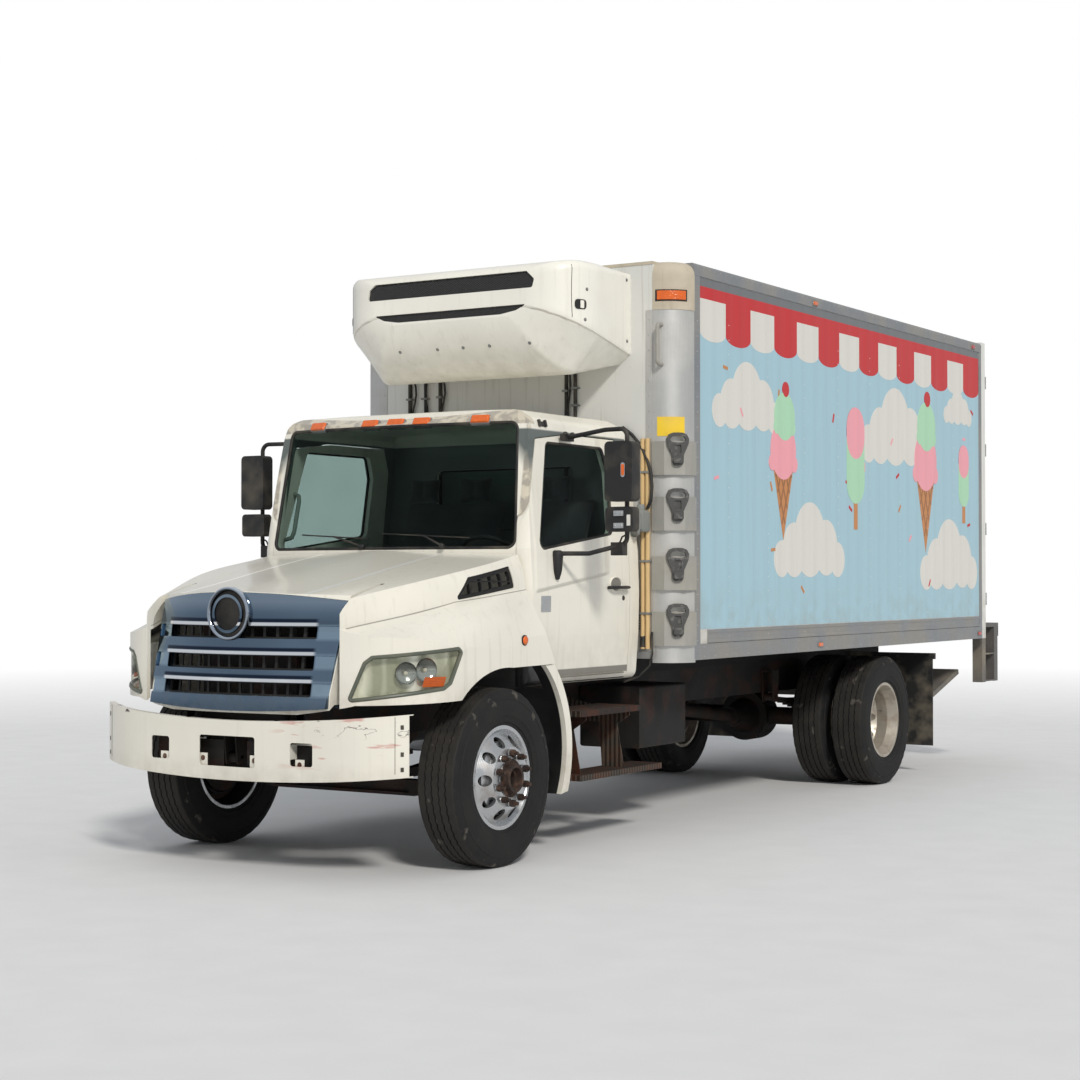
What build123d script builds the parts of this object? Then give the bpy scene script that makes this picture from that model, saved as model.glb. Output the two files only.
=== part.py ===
from build123d import *
import math
import os

# A conventional two-axle truck with a refrigerated box body, in millimetres.
# x points to the driver's side, z up, and the front faces -y.
# Stations (y) are measured back from the front axle. The written model is shifted
# so that its origin lies on the ground at half the overall length.

# Driving sizes of the chassis
OVERALL_LENGTH = 9180
FRONT_OVERHANG = 1084
WHEELBASE = 5512
TYRE_RADIUS = 512
TYRE_WIDTH = 279
BEAD_RADIUS = 286
RIM_FLANGE_RADIUS = 298
RIM_WIDTH = 230
DISC_OFFSET = 170
DISC_THICKNESS = 22
FRONT_WHEEL_X = 1010
REAR_TRACK_X = 910
KINGPIN_X = 868
RAIL_OUTER_X = 432
RAIL_TOP = 980
RAIL_DEPTH = 240
RAIL_FLANGE = 80
RAIL_WALL = 8
RAIL_FRONT_Y = -930
RAIL_REAR_Y = 7240
SPRING_X = RAIL_OUTER_X - RAIL_FLANGE / 2
REAR_SPRING_X = RAIL_OUTER_X + 58
RUNNING_GAP = 0.3
SEAT_GAP = 0.3

# Driving sizes of the cab
CAB_FRONT_Y = 450
CAB_REAR_Y = 1790
CAB_HALF_WIDTH = 1020
CAB_FLOOR_Z = 1000
FLOOR_THICKNESS = 80
BELT_Z = 1829
ROOF_Z = 2700
CAB_WALL = 50
GLASS_THICKNESS = 6
WINDSHIELD_RADIUS = 4500
WINDSHIELD_LEAN = 0.166
DOOR_GAP = 7
HOOD_REAR_Y = 425
HOOD_WALL = 22
COWL_GAP = 12
HINGE_Y = -1010
HINGE_Z = 800
HINGE_ARM_X = 310
HINGE_PIN_RADIUS = 12

# Driving sizes of the box body
BOX_HALF_WIDTH = 1295
BOX_FRONT_Y = 1845
BOX_REAR_Y = 7610
BOX_TOP_Z = 3732
BOX_BOTTOM_Z = 1125
BOX_WALL = 75
PANEL_INSET = 7
CORNER_RADIUS = 200
LOAD_FLOOR_Z = 1290
REAR_POST_WIDTH = 105
REAR_FRAME_DEPTH = 90
DOOR_LEAF_THICKNESS = 70
LIFT_REAR_Y = OVERALL_LENGTH - FRONT_OVERHANG

SHIFT_Y = FRONT_OVERHANG - OVERALL_LENGTH / 2
AXLE_Z = TYRE_RADIUS
RAIL_BOTTOM = RAIL_TOP - RAIL_DEPTH


# Small helpers

def block(x0, x1, y0, y1, z0, z1):
    """A block between two opposite corners."""
    return Pos((x0 + x1) / 2, (y0 + y1) / 2, (z0 + z1) / 2) * Box(x1 - x0, y1 - y0, z1 - z0)


def polygon(points, radius=0):
    """A closed face through points, its corners rounded by one radius."""
    face = make_face(Polyline(*points, close=True))
    return fillet(face.vertices(), radius) if radius else face


def from_side(face, x0, x1):
    """A side outline, drawn as (y, z), given thickness from x0 to x1."""
    return extrude(Plane.YZ.offset(x0) * face, amount=x1 - x0)


def from_front(face, y0, y1):
    """A front outline, drawn as (x, z), given thickness from y0 to y1."""
    return extrude(Plane.XZ.offset(-y0) * face, amount=y0 - y1)


def from_top(face, z0, z1):
    """A plan outline, drawn as (x, y), given height from z0 to z1."""
    return extrude(Plane.XY.offset(z0) * face, amount=z1 - z0)


def rod(start, end, radius):
    """A round bar between two points."""
    line = Vector(*end) - Vector(*start)
    plane = Plane(origin=start, z_dir=line)
    return extrude(plane * Circle(radius), amount=line.length)


def bent_rod(points, bend, radius):
    """A round bar along straight runs joined by bends of one radius."""
    path = FilletPolyline(*points, radius=bend)
    start = Plane(origin=path @ 0, z_dir=path % 0)
    return sweep(start * Circle(radius), path=path)


def mirrored(solid):
    return mirror(solid, Plane.YZ)


def both(*solids):
    """The solids and their mirror images on the other side."""
    return list(solids) + [mirrored(solid) for solid in solids]


def joined(*solids):
    """One solid fused from all that are given."""
    first = solids[0]
    return first.fuse(*solids[1:]).clean() if len(solids) > 1 else first


def save(node, *pieces):
    """Write one node, all its solids moved to the shared frame."""
    solids = []
    for piece in pieces:
        solids += piece.solids()
    moved = [solid.moved(Location((0, SHIFT_Y, 0))) for solid in solids]
    shape = moved[0] if len(moved) == 1 else Compound(children=moved)
    export_step(shape, "parts/" + node + ".step")


# Wheels

def spin_about_x(points):
    """A ring whose section is drawn as (x, radius)."""
    return revolve(make_face(Polyline(*points, close=True)), Axis.X)


def tyre():
    """A tyre about the x axis: flat tread, round shoulders and bulging sidewalls."""
    half = TYRE_WIDTH / 2
    tread = half - 24
    shoulder = TYRE_RADIUS - 26
    bead = RIM_WIDTH / 2 - 15
    heel = RIM_FLANGE_RADIUS + 7
    widest = (TYRE_RADIUS + BEAD_RADIUS) / 2
    outline = Polyline((-tread, TYRE_RADIUS), (tread, TYRE_RADIUS), (half - 8, shoulder))
    outline += ThreePointArc((half - 8, shoulder), (half, widest), (bead, heel))
    outline += Polyline((bead, heel), (bead, BEAD_RADIUS + SEAT_GAP), (-bead, BEAD_RADIUS + SEAT_GAP),
                        (-bead, heel))
    outline += ThreePointArc((-bead, heel), (-half, widest), (8 - half, shoulder))
    outline += Line((8 - half, shoulder), (-tread, TYRE_RADIUS))
    return revolve(make_face(outline), Axis.X)


HAND_HOLES = 10
HAND_HOLE_RADIUS = 32
HAND_HOLE_RING = 214
STUD_RING = 142.9
STUD_HOLE_RADIUS = 13.5
PILOT_RADIUS = 110
BARREL_RADIUS = 252


def rim():
    """A disc wheel about the x axis, its disc face towards +x, with round hand holes."""
    half = RIM_WIDTH / 2
    wall = 9
    lip = 12
    disc_back = DISC_OFFSET - DISC_THICKNESS
    barrel = [(-half, RIM_FLANGE_RADIUS), (lip - half, RIM_FLANGE_RADIUS - 4), (lip - half, BEAD_RADIUS),
              (-half + 55, BEAD_RADIUS - 6), (-half + 80, BARREL_RADIUS + wall),
              (half - 80, BARREL_RADIUS + wall), (half - 55, BEAD_RADIUS - 6), (half - lip, BEAD_RADIUS),
              (half - lip, RIM_FLANGE_RADIUS - 4), (half, RIM_FLANGE_RADIUS), (half, BEAD_RADIUS - wall),
              (half - 20, BARREL_RADIUS + 12), (DISC_OFFSET - 30, HAND_HOLE_RING), (DISC_OFFSET, 178),
              (DISC_OFFSET, PILOT_RADIUS), (disc_back, PILOT_RADIUS), (disc_back, 184),
              (disc_back - 34, HAND_HOLE_RING), (half - 62, BARREL_RADIUS), (80 - half, BARREL_RADIUS),
              (20 - half, BEAD_RADIUS - wall - 6), (-half, BEAD_RADIUS - wall)]
    wheel = spin_about_x(barrel)
    for index in range(HAND_HOLES):
        turn = Rot(X=360 * (index + 0.5) / HAND_HOLES)
        wheel -= turn * Pos(DISC_OFFSET - 40, 0, HAND_HOLE_RING) * Rot(Y=90) * Cylinder(HAND_HOLE_RADIUS, 130)
    return wheel


SPINDLE_RADIUS = 38
HUB_RADIUS = 88
DRUM_RADIUS = 212
DRUM_WALL = 12
NUT_RADIUS = 21
NUT_LENGTH = 32


def hub(seat_x, nut_x, inner_x, outer_x, drum_from, drum_to):
    """A hub about the x axis with its brake drum, stud nuts and a bore for the spindle.

    seat_x is the flange face that the disc bolts to, nut_x the face under the nuts.
    """
    bore = SPINDLE_RADIUS + RUNNING_GAP
    flange = 20
    body = spin_about_x([(inner_x, bore), (inner_x, 70), (seat_x - flange, HUB_RADIUS),
                         (seat_x - flange, 172), (seat_x, 172), (seat_x, PILOT_RADIUS - SEAT_GAP),
                         (nut_x + 6, PILOT_RADIUS - SEAT_GAP), (nut_x + 6, HUB_RADIUS),
                         (outer_x, HUB_RADIUS - 6), (outer_x, 62), (outer_x - 34, 58),
                         (outer_x - 34, bore)])
    drum = spin_about_x([(drum_from, DRUM_RADIUS), (drum_to, DRUM_RADIUS), (seat_x - flange, 175),
                         (seat_x - flange, 150), (drum_to - 14, 165),
                         (drum_to - 14, DRUM_RADIUS - DRUM_WALL), (drum_from, DRUM_RADIUS - DRUM_WALL)])
    pieces = [body, drum]
    for index in range(HAND_HOLES):
        nut = Pos(nut_x + NUT_LENGTH / 2, 0, STUD_RING) * Rot(Y=90) * extrude(
            RegularPolygon(NUT_RADIUS, 6), amount=NUT_LENGTH / 2, both=True)
        stud = Pos(nut_x + NUT_LENGTH / 2 + 12, 0, STUD_RING) * Rot(Y=90) * Cylinder(11, NUT_LENGTH + 16)
        pieces += [Rot(X=360 * index / HAND_HOLES) * (nut + stud)]
    return pieces


# Chassis

def channel_rail():
    """The left frame rail, a channel open to the middle."""
    inner = RAIL_OUTER_X - RAIL_FLANGE
    section = [(RAIL_OUTER_X, RAIL_BOTTOM), (RAIL_OUTER_X, RAIL_TOP), (inner, RAIL_TOP),
               (inner, RAIL_TOP - RAIL_WALL), (RAIL_OUTER_X - RAIL_WALL, RAIL_TOP - RAIL_WALL),
               (RAIL_OUTER_X - RAIL_WALL, RAIL_BOTTOM + RAIL_WALL), (inner, RAIL_BOTTOM + RAIL_WALL),
               (inner, RAIL_BOTTOM)]
    return from_front(polygon(section), RAIL_FRONT_Y, RAIL_REAR_Y)


# Channels between the rails, as (station of the front face, low z, high z)
CROSSMEMBERS = [(-870, 752, 790), (1560, 832, 960), (2600, 832, 960), (3760, 832, 960), (4700, 832, 960),
                (6240, 800, 960), (7150, 800, 960)]
CROSS_WIDTH = 70


def crossmembers():
    inside = RAIL_OUTER_X - RAIL_WALL
    members = []
    for station, z0, z1 in CROSSMEMBERS:
        member = block(-inside, inside, station, station + CROSS_WIDTH, z0, z1)
        member -= block(-inside, inside, station + RAIL_WALL, station + CROSS_WIDTH,
                        z0 + RAIL_WALL, z1 - RAIL_WALL)
        members.append(member)
    return members


def hinge_ears():
    """Ears at the front of the frame that carry the hood's hinge pins."""
    inner = RAIL_OUTER_X - RAIL_FLANGE
    ear = from_side(polygon([(RAIL_FRONT_Y + 50, HINGE_Z - 40), (HINGE_Y - 20, HINGE_Z - 20),
                             (HINGE_Y - 20, HINGE_Z + 20), (RAIL_FRONT_Y + 50, HINGE_Z + 60)], 8),
                    inner, inner + 16)
    ear += block(inner, RAIL_OUTER_X - RAIL_WALL, RAIL_FRONT_Y, RAIL_FRONT_Y + 50, HINGE_Z - 40, HINGE_Z + 60)
    pin = rod((HINGE_ARM_X - 6, HINGE_Y, HINGE_Z), (inner, HINGE_Y, HINGE_Z), HINGE_PIN_RADIUS)
    return ear + pin


CAB_MOUNTS = [560, 1640]
CAB_MOUNT_RADIUS = 48


def cab_mounts():
    """Rubber-topped posts on the left rail that the cab floor stands on."""
    return [Pos(SPRING_X, y, (RAIL_TOP + CAB_FLOOR_Z - SEAT_GAP) / 2) *
            Cylinder(CAB_MOUNT_RADIUS, CAB_FLOOR_Z - SEAT_GAP - RAIL_TOP) for y in CAB_MOUNTS]


BUMPER_TOP = [863, 920]
BUMPER_BOTTOM = [530, 582]
BUMPER_SHOULDER_X = 636
BUMPER_END_X = 1090
BUMPER_SHOULDER_SET = 36
BUMPER_END_SET = 218
BUMPER_WALL = 6
BUMPER_DEPTH = 44
TOW_HOLE_X = 510
TOW_HOLE = [146, 128]
PLATE_HOLE = [400, 170]


def bumper_band(inset, depth):
    """A band of the bumper's plan curve, from inset to depth behind its face."""
    faces = []
    for back in (inset, depth):
        nose = -FRONT_OVERHANG + back
        shoulder = nose + BUMPER_SHOULDER_SET
        end = nose + BUMPER_END_SET
        middle_x = (BUMPER_SHOULDER_X + BUMPER_END_X) / 2 + 20
        faces.append([(BUMPER_END_X, end), (middle_x, (shoulder + end) / 2 - 28), (BUMPER_SHOULDER_X, shoulder),
                      (0, nose)])
    (end0, bend0, shoulder0, nose0), (end1, bend1, shoulder1, nose1) = faces
    flip = lambda p: (-p[0], p[1])
    outline = ThreePointArc(end0, bend0, shoulder0)
    outline += ThreePointArc(shoulder0, nose0, flip(shoulder0))
    outline += ThreePointArc(flip(shoulder0), flip(bend0), flip(end0))
    outline += Line(flip(end0), flip(end1))
    outline += ThreePointArc(flip(end1), flip(bend1), flip(shoulder1))
    outline += ThreePointArc(flip(shoulder1), nose1, shoulder1)
    outline += ThreePointArc(shoulder1, bend1, end1)
    outline += Line(end1, end0)
    return from_top(make_face(outline), 400, 1050)


def bumper_front(inset):
    """The bumper's front outline, lower at the middle."""
    x = BUMPER_END_X + 10
    top = [z - inset for z in BUMPER_TOP]
    bottom = [z + inset for z in BUMPER_BOTTOM]
    outline = ThreePointArc((-x, top[1]), (0, top[0]), (x, top[1]))
    outline += Line((x, top[1]), (x, bottom[1]))
    outline += ThreePointArc((x, bottom[1]), (0, bottom[0]), (-x, bottom[1]))
    outline += Line((-x, bottom[1]), (-x, top[1]))
    return from_front(make_face(outline), -FRONT_OVERHANG - 100, -600)


def front_bumper():
    face = bumper_band(0, BUMPER_DEPTH) & bumper_front(0)
    face -= bumper_band(BUMPER_WALL, BUMPER_DEPTH + 40) & bumper_front(BUMPER_WALL)
    middle = (BUMPER_TOP[0] + BUMPER_BOTTOM[0]) / 2 - 6
    holes = [(0, PLATE_HOLE), (TOW_HOLE_X, TOW_HOLE), (-TOW_HOLE_X, TOW_HOLE)]
    for x, (width, height) in holes:
        outline = Pos(x, middle) * RectangleRounded(width, height, 16)
        face -= from_front(outline, -FRONT_OVERHANG - 50, -FRONT_OVERHANG + 90)
    notch = block(HINGE_ARM_X - 12, HINGE_ARM_X + 32, -FRONT_OVERHANG + 22, -FRONT_OVERHANG + 60, 840, 900)
    face = face - notch - mirrored(notch)
    inner = RAIL_OUTER_X - RAIL_WALL
    arm = block(inner - 60, inner, -FRONT_OVERHANG + 18, RAIL_FRONT_Y + 90, RAIL_BOTTOM - 80, RAIL_BOTTOM)
    arm -= block(inner - 60, inner - 8, -FRONT_OVERHANG, RAIL_FRONT_Y + 100, RAIL_BOTTOM - 72, RAIL_BOTTOM - 8)
    return joined(face, arm, mirrored(arm))


BEAM_END_RADIUS = 46
BEAM_END_HALF = 70
BEAM_DROP = 90


def front_axle():
    """The dropped beam with a boss for each kingpin."""
    seat = AXLE_Z - BEAM_DROP
    half = KINGPIN_X
    outline = [(-half, AXLE_Z + 34), (-half + 120, AXLE_Z + 30), (-560, seat + 46), (560, seat + 46),
               (half - 120, AXLE_Z + 30), (half, AXLE_Z + 34), (half, AXLE_Z - 34),
               (half - 110, AXLE_Z - 40), (540, seat - 46), (-540, seat - 46),
               (-half + 110, AXLE_Z - 40), (-half, AXLE_Z - 34)]
    beam = from_front(polygon(outline), -45, 45)
    web = from_front(polygon([(-500, seat - 28), (500, seat - 28), (500, seat + 28), (-500, seat + 28)]), 8, 60)
    beam -= web
    beam -= mirror(web, Plane.XZ)
    for side in (-1, 1):
        beam += Pos(side * KINGPIN_X, 0, AXLE_Z) * Cylinder(BEAM_END_RADIUS, 2 * BEAM_END_HALF)
    for side in (-1, 1):
        beam -= Pos(side * KINGPIN_X, 0, AXLE_Z) * Cylinder(22 + RUNNING_GAP, 2 * BEAM_END_HALF + 2)
    return beam


def leaf_pack(half_lengths, thickness, width, curve, x, y, z_bottom):
    """A leaf spring: curved leaves stacked from the shortest, with an eye at each end."""
    pieces = []
    centre_z = z_bottom + curve
    for index, half in enumerate(half_lengths):
        low = curve - index * thickness
        high = low - thickness
        angle_low = math.degrees(math.asin(half / low))
        angle_high = math.degrees(math.asin(half / high))
        outer = Pos(y, centre_z) * CenterArc((0, 0), low, 270 - angle_low, 2 * angle_low)
        inner = Pos(y, centre_z) * CenterArc((0, 0), high, 270 - angle_high, 2 * angle_high)
        edges = outer + inner + Line(outer @ 0, inner @ 0) + Line(outer @ 1, inner @ 1)
        pieces.append(from_side(make_face(edges), x - width / 2, x + width / 2))
    last = curve - (len(half_lengths) - 0.5) * thickness
    half = half_lengths[-1]
    eye_z = centre_z - math.sqrt(last * last - half * half)
    for side in (-1, 1):
        pieces.append(rod((x - width / 2, y + side * half, eye_z), (x + width / 2, y + side * half, eye_z), 30))
    return joined(*pieces), eye_z


def spring_hanger(x, y, eye_z, width, top_z, inner_x):
    """A bracket down from the frame rail with a plate each side of the spring eye."""
    cheek = from_side(polygon([(y - 40, eye_z - 40), (y + 40, eye_z - 40), (y + 60, top_z), (y - 60, top_z)], 6),
                      x + width / 2 + 2, x + width / 2 + 12)
    other = cheek.moved(Location((-width - 14, 0, 0)))
    pin = rod((x - width / 2 - 12, y, eye_z), (x + width / 2 + 12, y, eye_z), 12)
    bridge = block(min(inner_x, x - width / 2 - 12), x + width / 2 + 12, y - 55, y + 55, top_z - 16, top_z)
    return joined(cheek, other, bridge), pin


FRONT_LEAVES = [180, 380, 560]
REAR_LEAVES = [160, 240, 330, 430, 540, 640]


def springs():
    pieces = []
    seat = AXLE_Z - BEAM_DROP + 46
    pack, eye = leaf_pack(FRONT_LEAVES, 18, 70, 1900, SPRING_X, 20, seat)
    for end in (-1, 1):
        hanger, pin = spring_hanger(SPRING_X, 20 + end * FRONT_LEAVES[-1], eye, 70, RAIL_BOTTOM, SPRING_X - 40)
        pieces.append(hanger)
        pack += pin
    pieces.append(pack)
    seat = AXLE_Z + 72
    pack, eye = leaf_pack(REAR_LEAVES, 15, 76, 5200, REAR_SPRING_X, WHEELBASE, seat)
    for end in (-1, 1):
        hanger, pin = spring_hanger(REAR_SPRING_X, WHEELBASE + end * REAR_LEAVES[-1], eye, 76,
                                    RAIL_TOP - 60, RAIL_OUTER_X)
        pieces.append(hanger)
        pack += pin
    pieces.append(pack)
    return both(*pieces)


def rear_axle():
    """Banjo housing, axle tubes to the spindles and spring pads."""
    tube_end = REAR_TRACK_X - 270
    housing = Pos(0, WHEELBASE, AXLE_Z) * Rot(Y=90) * Cylinder(72, 2 * tube_end)
    bowl = Pos(0, WHEELBASE, AXLE_Z) * Rot(X=90) * Cylinder(205, 230)
    nose = Pos(0, WHEELBASE - 210, AXLE_Z) * Rot(X=90) * Cone(150, 80, 240)
    cover = Pos(0, WHEELBASE + 135, AXLE_Z) * Rot(X=-90) * Cone(190, 120, 60)
    spindle = Pos(0, WHEELBASE, AXLE_Z) * Rot(Y=90) * Cylinder(SPINDLE_RADIUS, 2 * (REAR_TRACK_X + 60))
    solid = joined(housing, bowl, nose, cover, spindle)
    for side in (-1, 1):
        shield = Pos(side * (tube_end + 4), WHEELBASE, AXLE_Z) * Rot(Y=90) * Cylinder(DRUM_RADIUS - 40, 8)
        pad = block(side * REAR_SPRING_X - 45, side * REAR_SPRING_X + 45, WHEELBASE - 80, WHEELBASE + 80,
                    AXLE_Z + 40, AXLE_Z + 72)
        solid = joined(solid, shield, pad)
    return solid


def driveshaft():
    """A two-piece shaft from the gearbox to the axle, with a yoke at each end."""
    front = (0, 1450, 760)
    middle = (0, 3380, 720)
    rear = (0, WHEELBASE - 360, AXLE_Z + 12)
    solid = joined(rod(front, middle, 50), rod(middle, rear, 50))
    for point, length in ((front, 60), (middle, 70), (rear, 60)):
        x, y, z = point
        solid += Pos(x, y, z) * Rot(X=90) * Cylinder(72, length)
    inside = RAIL_OUTER_X - RAIL_WALL
    carrier = block(-inside, inside, 3350, 3410, 800, 860) + block(-90, 90, 3352, 3408, 640, 800)
    return joined(solid, carrier)


ENGINE_HALF_WIDTH = 300


def engine():
    """The engine as one plain block, its gearbox behind and the radiator ahead."""
    block_part = block(-ENGINE_HALF_WIDTH, ENGINE_HALF_WIDTH, -600, 330, 700, 1440)
    block_part = chamfer(block_part.edges().filter_by(Axis.Y), 60)
    sump = block(-170, 170, -520, 240, 600, 700)
    mounts = [block(ENGINE_HALF_WIDTH - 20, RAIL_OUTER_X - RAIL_WALL, y, y + 110, 800, 880) for y in (-300, 200)]
    fan = Pos(0, -670, 1120) * Rot(X=90) * Cylinder(60, 140)
    lump = joined(block_part, sump, fan, *both(*mounts))
    bell = Pos(0, 420, 790) * Rot(X=90) * Cylinder(200, 180)
    gearbox = Pos(0, 840, 790) * Rot(X=90) * Cylinder(165, 680)
    tail = Pos(0, 1240, 780) * Rot(X=90) * Cylinder(80, 150)
    output = Pos(0, 1360, 768) * Rot(X=90) * Cylinder(60, 120)
    gears = joined(bell, gearbox, tail, output)
    core = block(-340, 340, -885, -800, 800, 1420)
    tanks = [block(-380, 380, -895, -790, 1380, 1450), block(-340, 340, -895, -790, 800, 850)]
    foot = block(250, 330, -868, -804, 790, 800)
    shroud = Pos(0, -770, 1120) * Rot(X=90) * Cylinder(290, 60)
    radiator = joined(core, *tanks, shroud, foot, mirrored(foot))
    return lump, gears, radiator


TANK_Y = [1960, 3160]


def fuel_tank():
    """A round-cornered tank on straps outside the right rail."""
    x1 = -RAIL_OUTER_X - 40
    x0 = x1 - 560
    outline = Pos((x0 + x1) / 2, 690) * RectangleRounded(x1 - x0, 520, 150)
    tank = from_front(outline, TANK_Y[0], TANK_Y[1])
    pieces = [tank]
    for y in (TANK_Y[0] + 180, TANK_Y[1] - 240):
        shelf = block(x0 + 60, -RAIL_OUTER_X, y, y + 60, 422, 430)
        post = block(x1 + 10, -RAIL_OUTER_X, y, y + 60, 430, RAIL_TOP - 40)
        pieces.append(joined(shelf, post))
    return pieces


def exhaust():
    """A silencer along the right rail inside the tank's line, with its tail pipe."""
    body = rod((-220, 1750, 640), (-220, 2550, 640), 120)
    pipe = bent_rod([(-220, 2550, 640), (-220, 3200, 640), (-560, 3800, 640), (-900, 3980, 560)], 120, 48)
    inlet = bent_rod([(-220, 1750, 640), (-220, 1500, 640), (-250, 700, 640), (-250, 500, 720)], 90, 48)
    strap = [block(-RAIL_OUTER_X + RAIL_WALL, -220, y, y + 40, 752, 770) for y in (1900, 2350)]
    return joined(body, pipe, inlet, *strap)


FLAP_Y = 6560


def mud_flaps():
    """A rubber flap and its bracket behind each pair of rear wheels."""
    flap = block(600, 1200, FLAP_Y, FLAP_Y + 8, 230, 1010)
    bracket = block(RAIL_OUTER_X, 1210, FLAP_Y + 8, FLAP_Y + 48, 960, 1010)
    return both(joined(flap, bracket))


# Cab

def mirrored_outline(points):
    """A closed outline from its right half, listed from the top middle to the bottom middle."""
    left = [(-x, z) for x, z in reversed(points) if x > 0]
    return points + left


def cab_front_face(inset):
    half = CAB_HALF_WIDTH
    right = [(0, ROOF_Z), (half - 190, ROOF_Z - 24), (half - 100, ROOF_Z - 80), (half - 82, ROOF_Z - 150),
             (half - 8, BELT_Z), (half + 2, BELT_Z - 270), (half - 4, BELT_Z - 530), (half - 26, CAB_FLOOR_Z)]
    face = polygon(mirrored_outline(right), 60)
    return offset(face, amount=-inset) if inset else face


def cab_plan_face(inset):
    """The cab's plan: a wide arc across the windshield and a tighter one at each pillar."""
    half = CAB_HALF_WIDTH + 20 - inset
    pillar = 925 - inset * 0.6
    middle = CAB_FRONT_Y - pillar ** 2 / (2 * WINDSHIELD_RADIUS)
    corner_y = CAB_FRONT_Y + inset
    side_y = CAB_FRONT_Y + 110 + inset
    far = CAB_REAR_Y + 900
    outline = ThreePointArc((-pillar, corner_y), (0, middle + inset), (pillar, corner_y))
    outline += ThreePointArc((pillar, corner_y), (half - 26, corner_y + 38), (half, side_y))
    outline += Polyline((half, side_y), (half, far), (-half, far), (-half, side_y))
    outline += ThreePointArc((-half, side_y), (26 - half, corner_y + 38), (-pillar, corner_y))
    return make_face(outline)


def cab_block(inset):
    """The cab's outer form, or the same form moved inward by inset."""
    rear = CAB_REAR_Y - inset
    width = from_front(cab_front_face(inset), 100, rear)
    lower = from_top(cab_plan_face(inset), CAB_FLOOR_Z - 100, BELT_Z)
    upper = extrude(Plane.XY.offset(BELT_Z) * cab_plan_face(inset), amount=1000, dir=(0, WINDSHIELD_LEAN, 1))
    corners = Pos(0, rear / 2) * RectangleRounded(3000, rear, 80)
    corners = from_top(corners, 900, 2900)
    header = [(0, 900), (0, ROOF_Z - 105 - inset), (480 + inset, ROOF_Z - 98 - inset),
              (640 + inset, ROOF_Z - 12 - inset), (rear - 120, ROOF_Z - inset), (rear, ROOF_Z - 110 - inset),
              (rear, 900)]
    roof = from_side(polygon(header, 120), -1200, 1200)
    form = width & (lower + upper)
    form = form & corners
    return form & roof


# Door outline as (y, z): front edge, slanted foot, sill, rear edge and roof line
DOOR_OUTLINE = [(440, 1900), (436, 1640), (450, 1540), (590, 1320), (730, 1130), (790, 1010), (1674, 1010),
                (1674, 2380), (1600, 2545), (1000, 2545), (640, 2500)]
WINDOW_OUTLINE = [(582, 1818), (1480, 1930), (1500, 2330), (1440, 2480), (760, 2480)]
WINDOW_CORNER = 45


def door_zone(grow):
    """The space of the left door as seen from the side, wider by grow, outboard of the windshield."""
    face = polygon(DOOR_OUTLINE, 12)
    face = offset(face, amount=grow) if grow else face
    inboard = [(932, 900), (934, BELT_Z), (868, ROOF_Z - 100), (1200, ROOF_Z - 100), (1200, 900)]
    return from_side(face, 800, 1200) & from_front(polygon(inboard), 300, CAB_REAR_Y)


def window_zone(grow):
    face = polygon(WINDOW_OUTLINE, WINDOW_CORNER)
    face = offset(face, amount=grow) if grow else face
    return from_side(face, 800, 1200)


def windshield_zone(grow):
    low = BELT_Z + 2
    high = ROOF_Z - 106
    face = polygon([(-922, low), (922, low), (868, high), (-868, high)], 50)
    face = offset(face, amount=grow) if grow else face
    return from_front(face, 150, 760)


def rear_window_zone(grow):
    face = Pos(0, 2180) * RectangleRounded(1100 + 2 * grow, 420 + 2 * grow, 40)
    return from_front(face, CAB_REAR_Y - 200, CAB_REAR_Y + 100)


def cab_parts():
    """The cab shell, its glass, and the left door with its glass."""
    outer = cab_block(0)
    inner = cab_block(CAB_WALL)
    room = inner - block(-1100, 1100, 0, 2000, 800, CAB_FLOOR_Z + FLOOR_THICKNESS)
    shell = outer - room
    opening = door_zone(0)
    shell = shell - opening - mirrored(opening)
    shell = shell - windshield_zone(0) - rear_window_zone(0)
    tunnel = block(-240, 240, 300, 1130, CAB_FLOOR_Z - 100, CAB_FLOOR_Z + 30)
    shell = shell - tunnel
    pane = cab_block(10) - cab_block(10 + GLASS_THICKNESS)
    windshield = pane & windshield_zone(-SEAT_GAP)
    back_light = pane & rear_window_zone(-SEAT_GAP)
    door_skin = (outer - room) & door_zone(-DOOR_GAP)
    door = door_skin - window_zone(0)
    door_glass = pane & window_zone(-SEAT_GAP)
    return shell, windshield, back_light, door, door_glass


DASH_HALF_WIDTH = 915
WHEEL_CENTRE = (480, 925, 1768)
WHEEL_TILT = 38
STEERING_RADIUS = 225
STEERING_SHAFT = 92
STEERING_SHAFT_RADIUS = 14


def wheel_place():
    """The steering wheel's middle, its z axis along the column."""
    return Pos(*WHEEL_CENTRE) * Rot(X=-WHEEL_TILT)


def dashboard():
    """Instrument panel across the cab, hooded before the driver."""
    outline = [(380, 1500), (740, 1520), (800, 1640), (790, 1760), (700, 1815), (380, 1815)]
    panel = from_side(polygon(outline, 14), -DASH_HALF_WIDTH, DASH_HALF_WIDTH) & cab_block(CAB_WALL + SEAT_GAP)
    hood_part = from_side(polygon([(690, 1790), (830, 1780), (800, 1842), (700, 1842)], 10), 330, 630)
    stack = block(-120, 160, 700, 860, 1250, 1700)
    column = rod((480, 700, 1480), (480, 897, 1732), 34)
    column = column - wheel_place() * Pos(0, 0, -STEERING_SHAFT) * Cylinder(
        STEERING_SHAFT_RADIUS + RUNNING_GAP, 2 * STEERING_SHAFT)
    return joined(panel, hood_part, stack, column)


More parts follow.
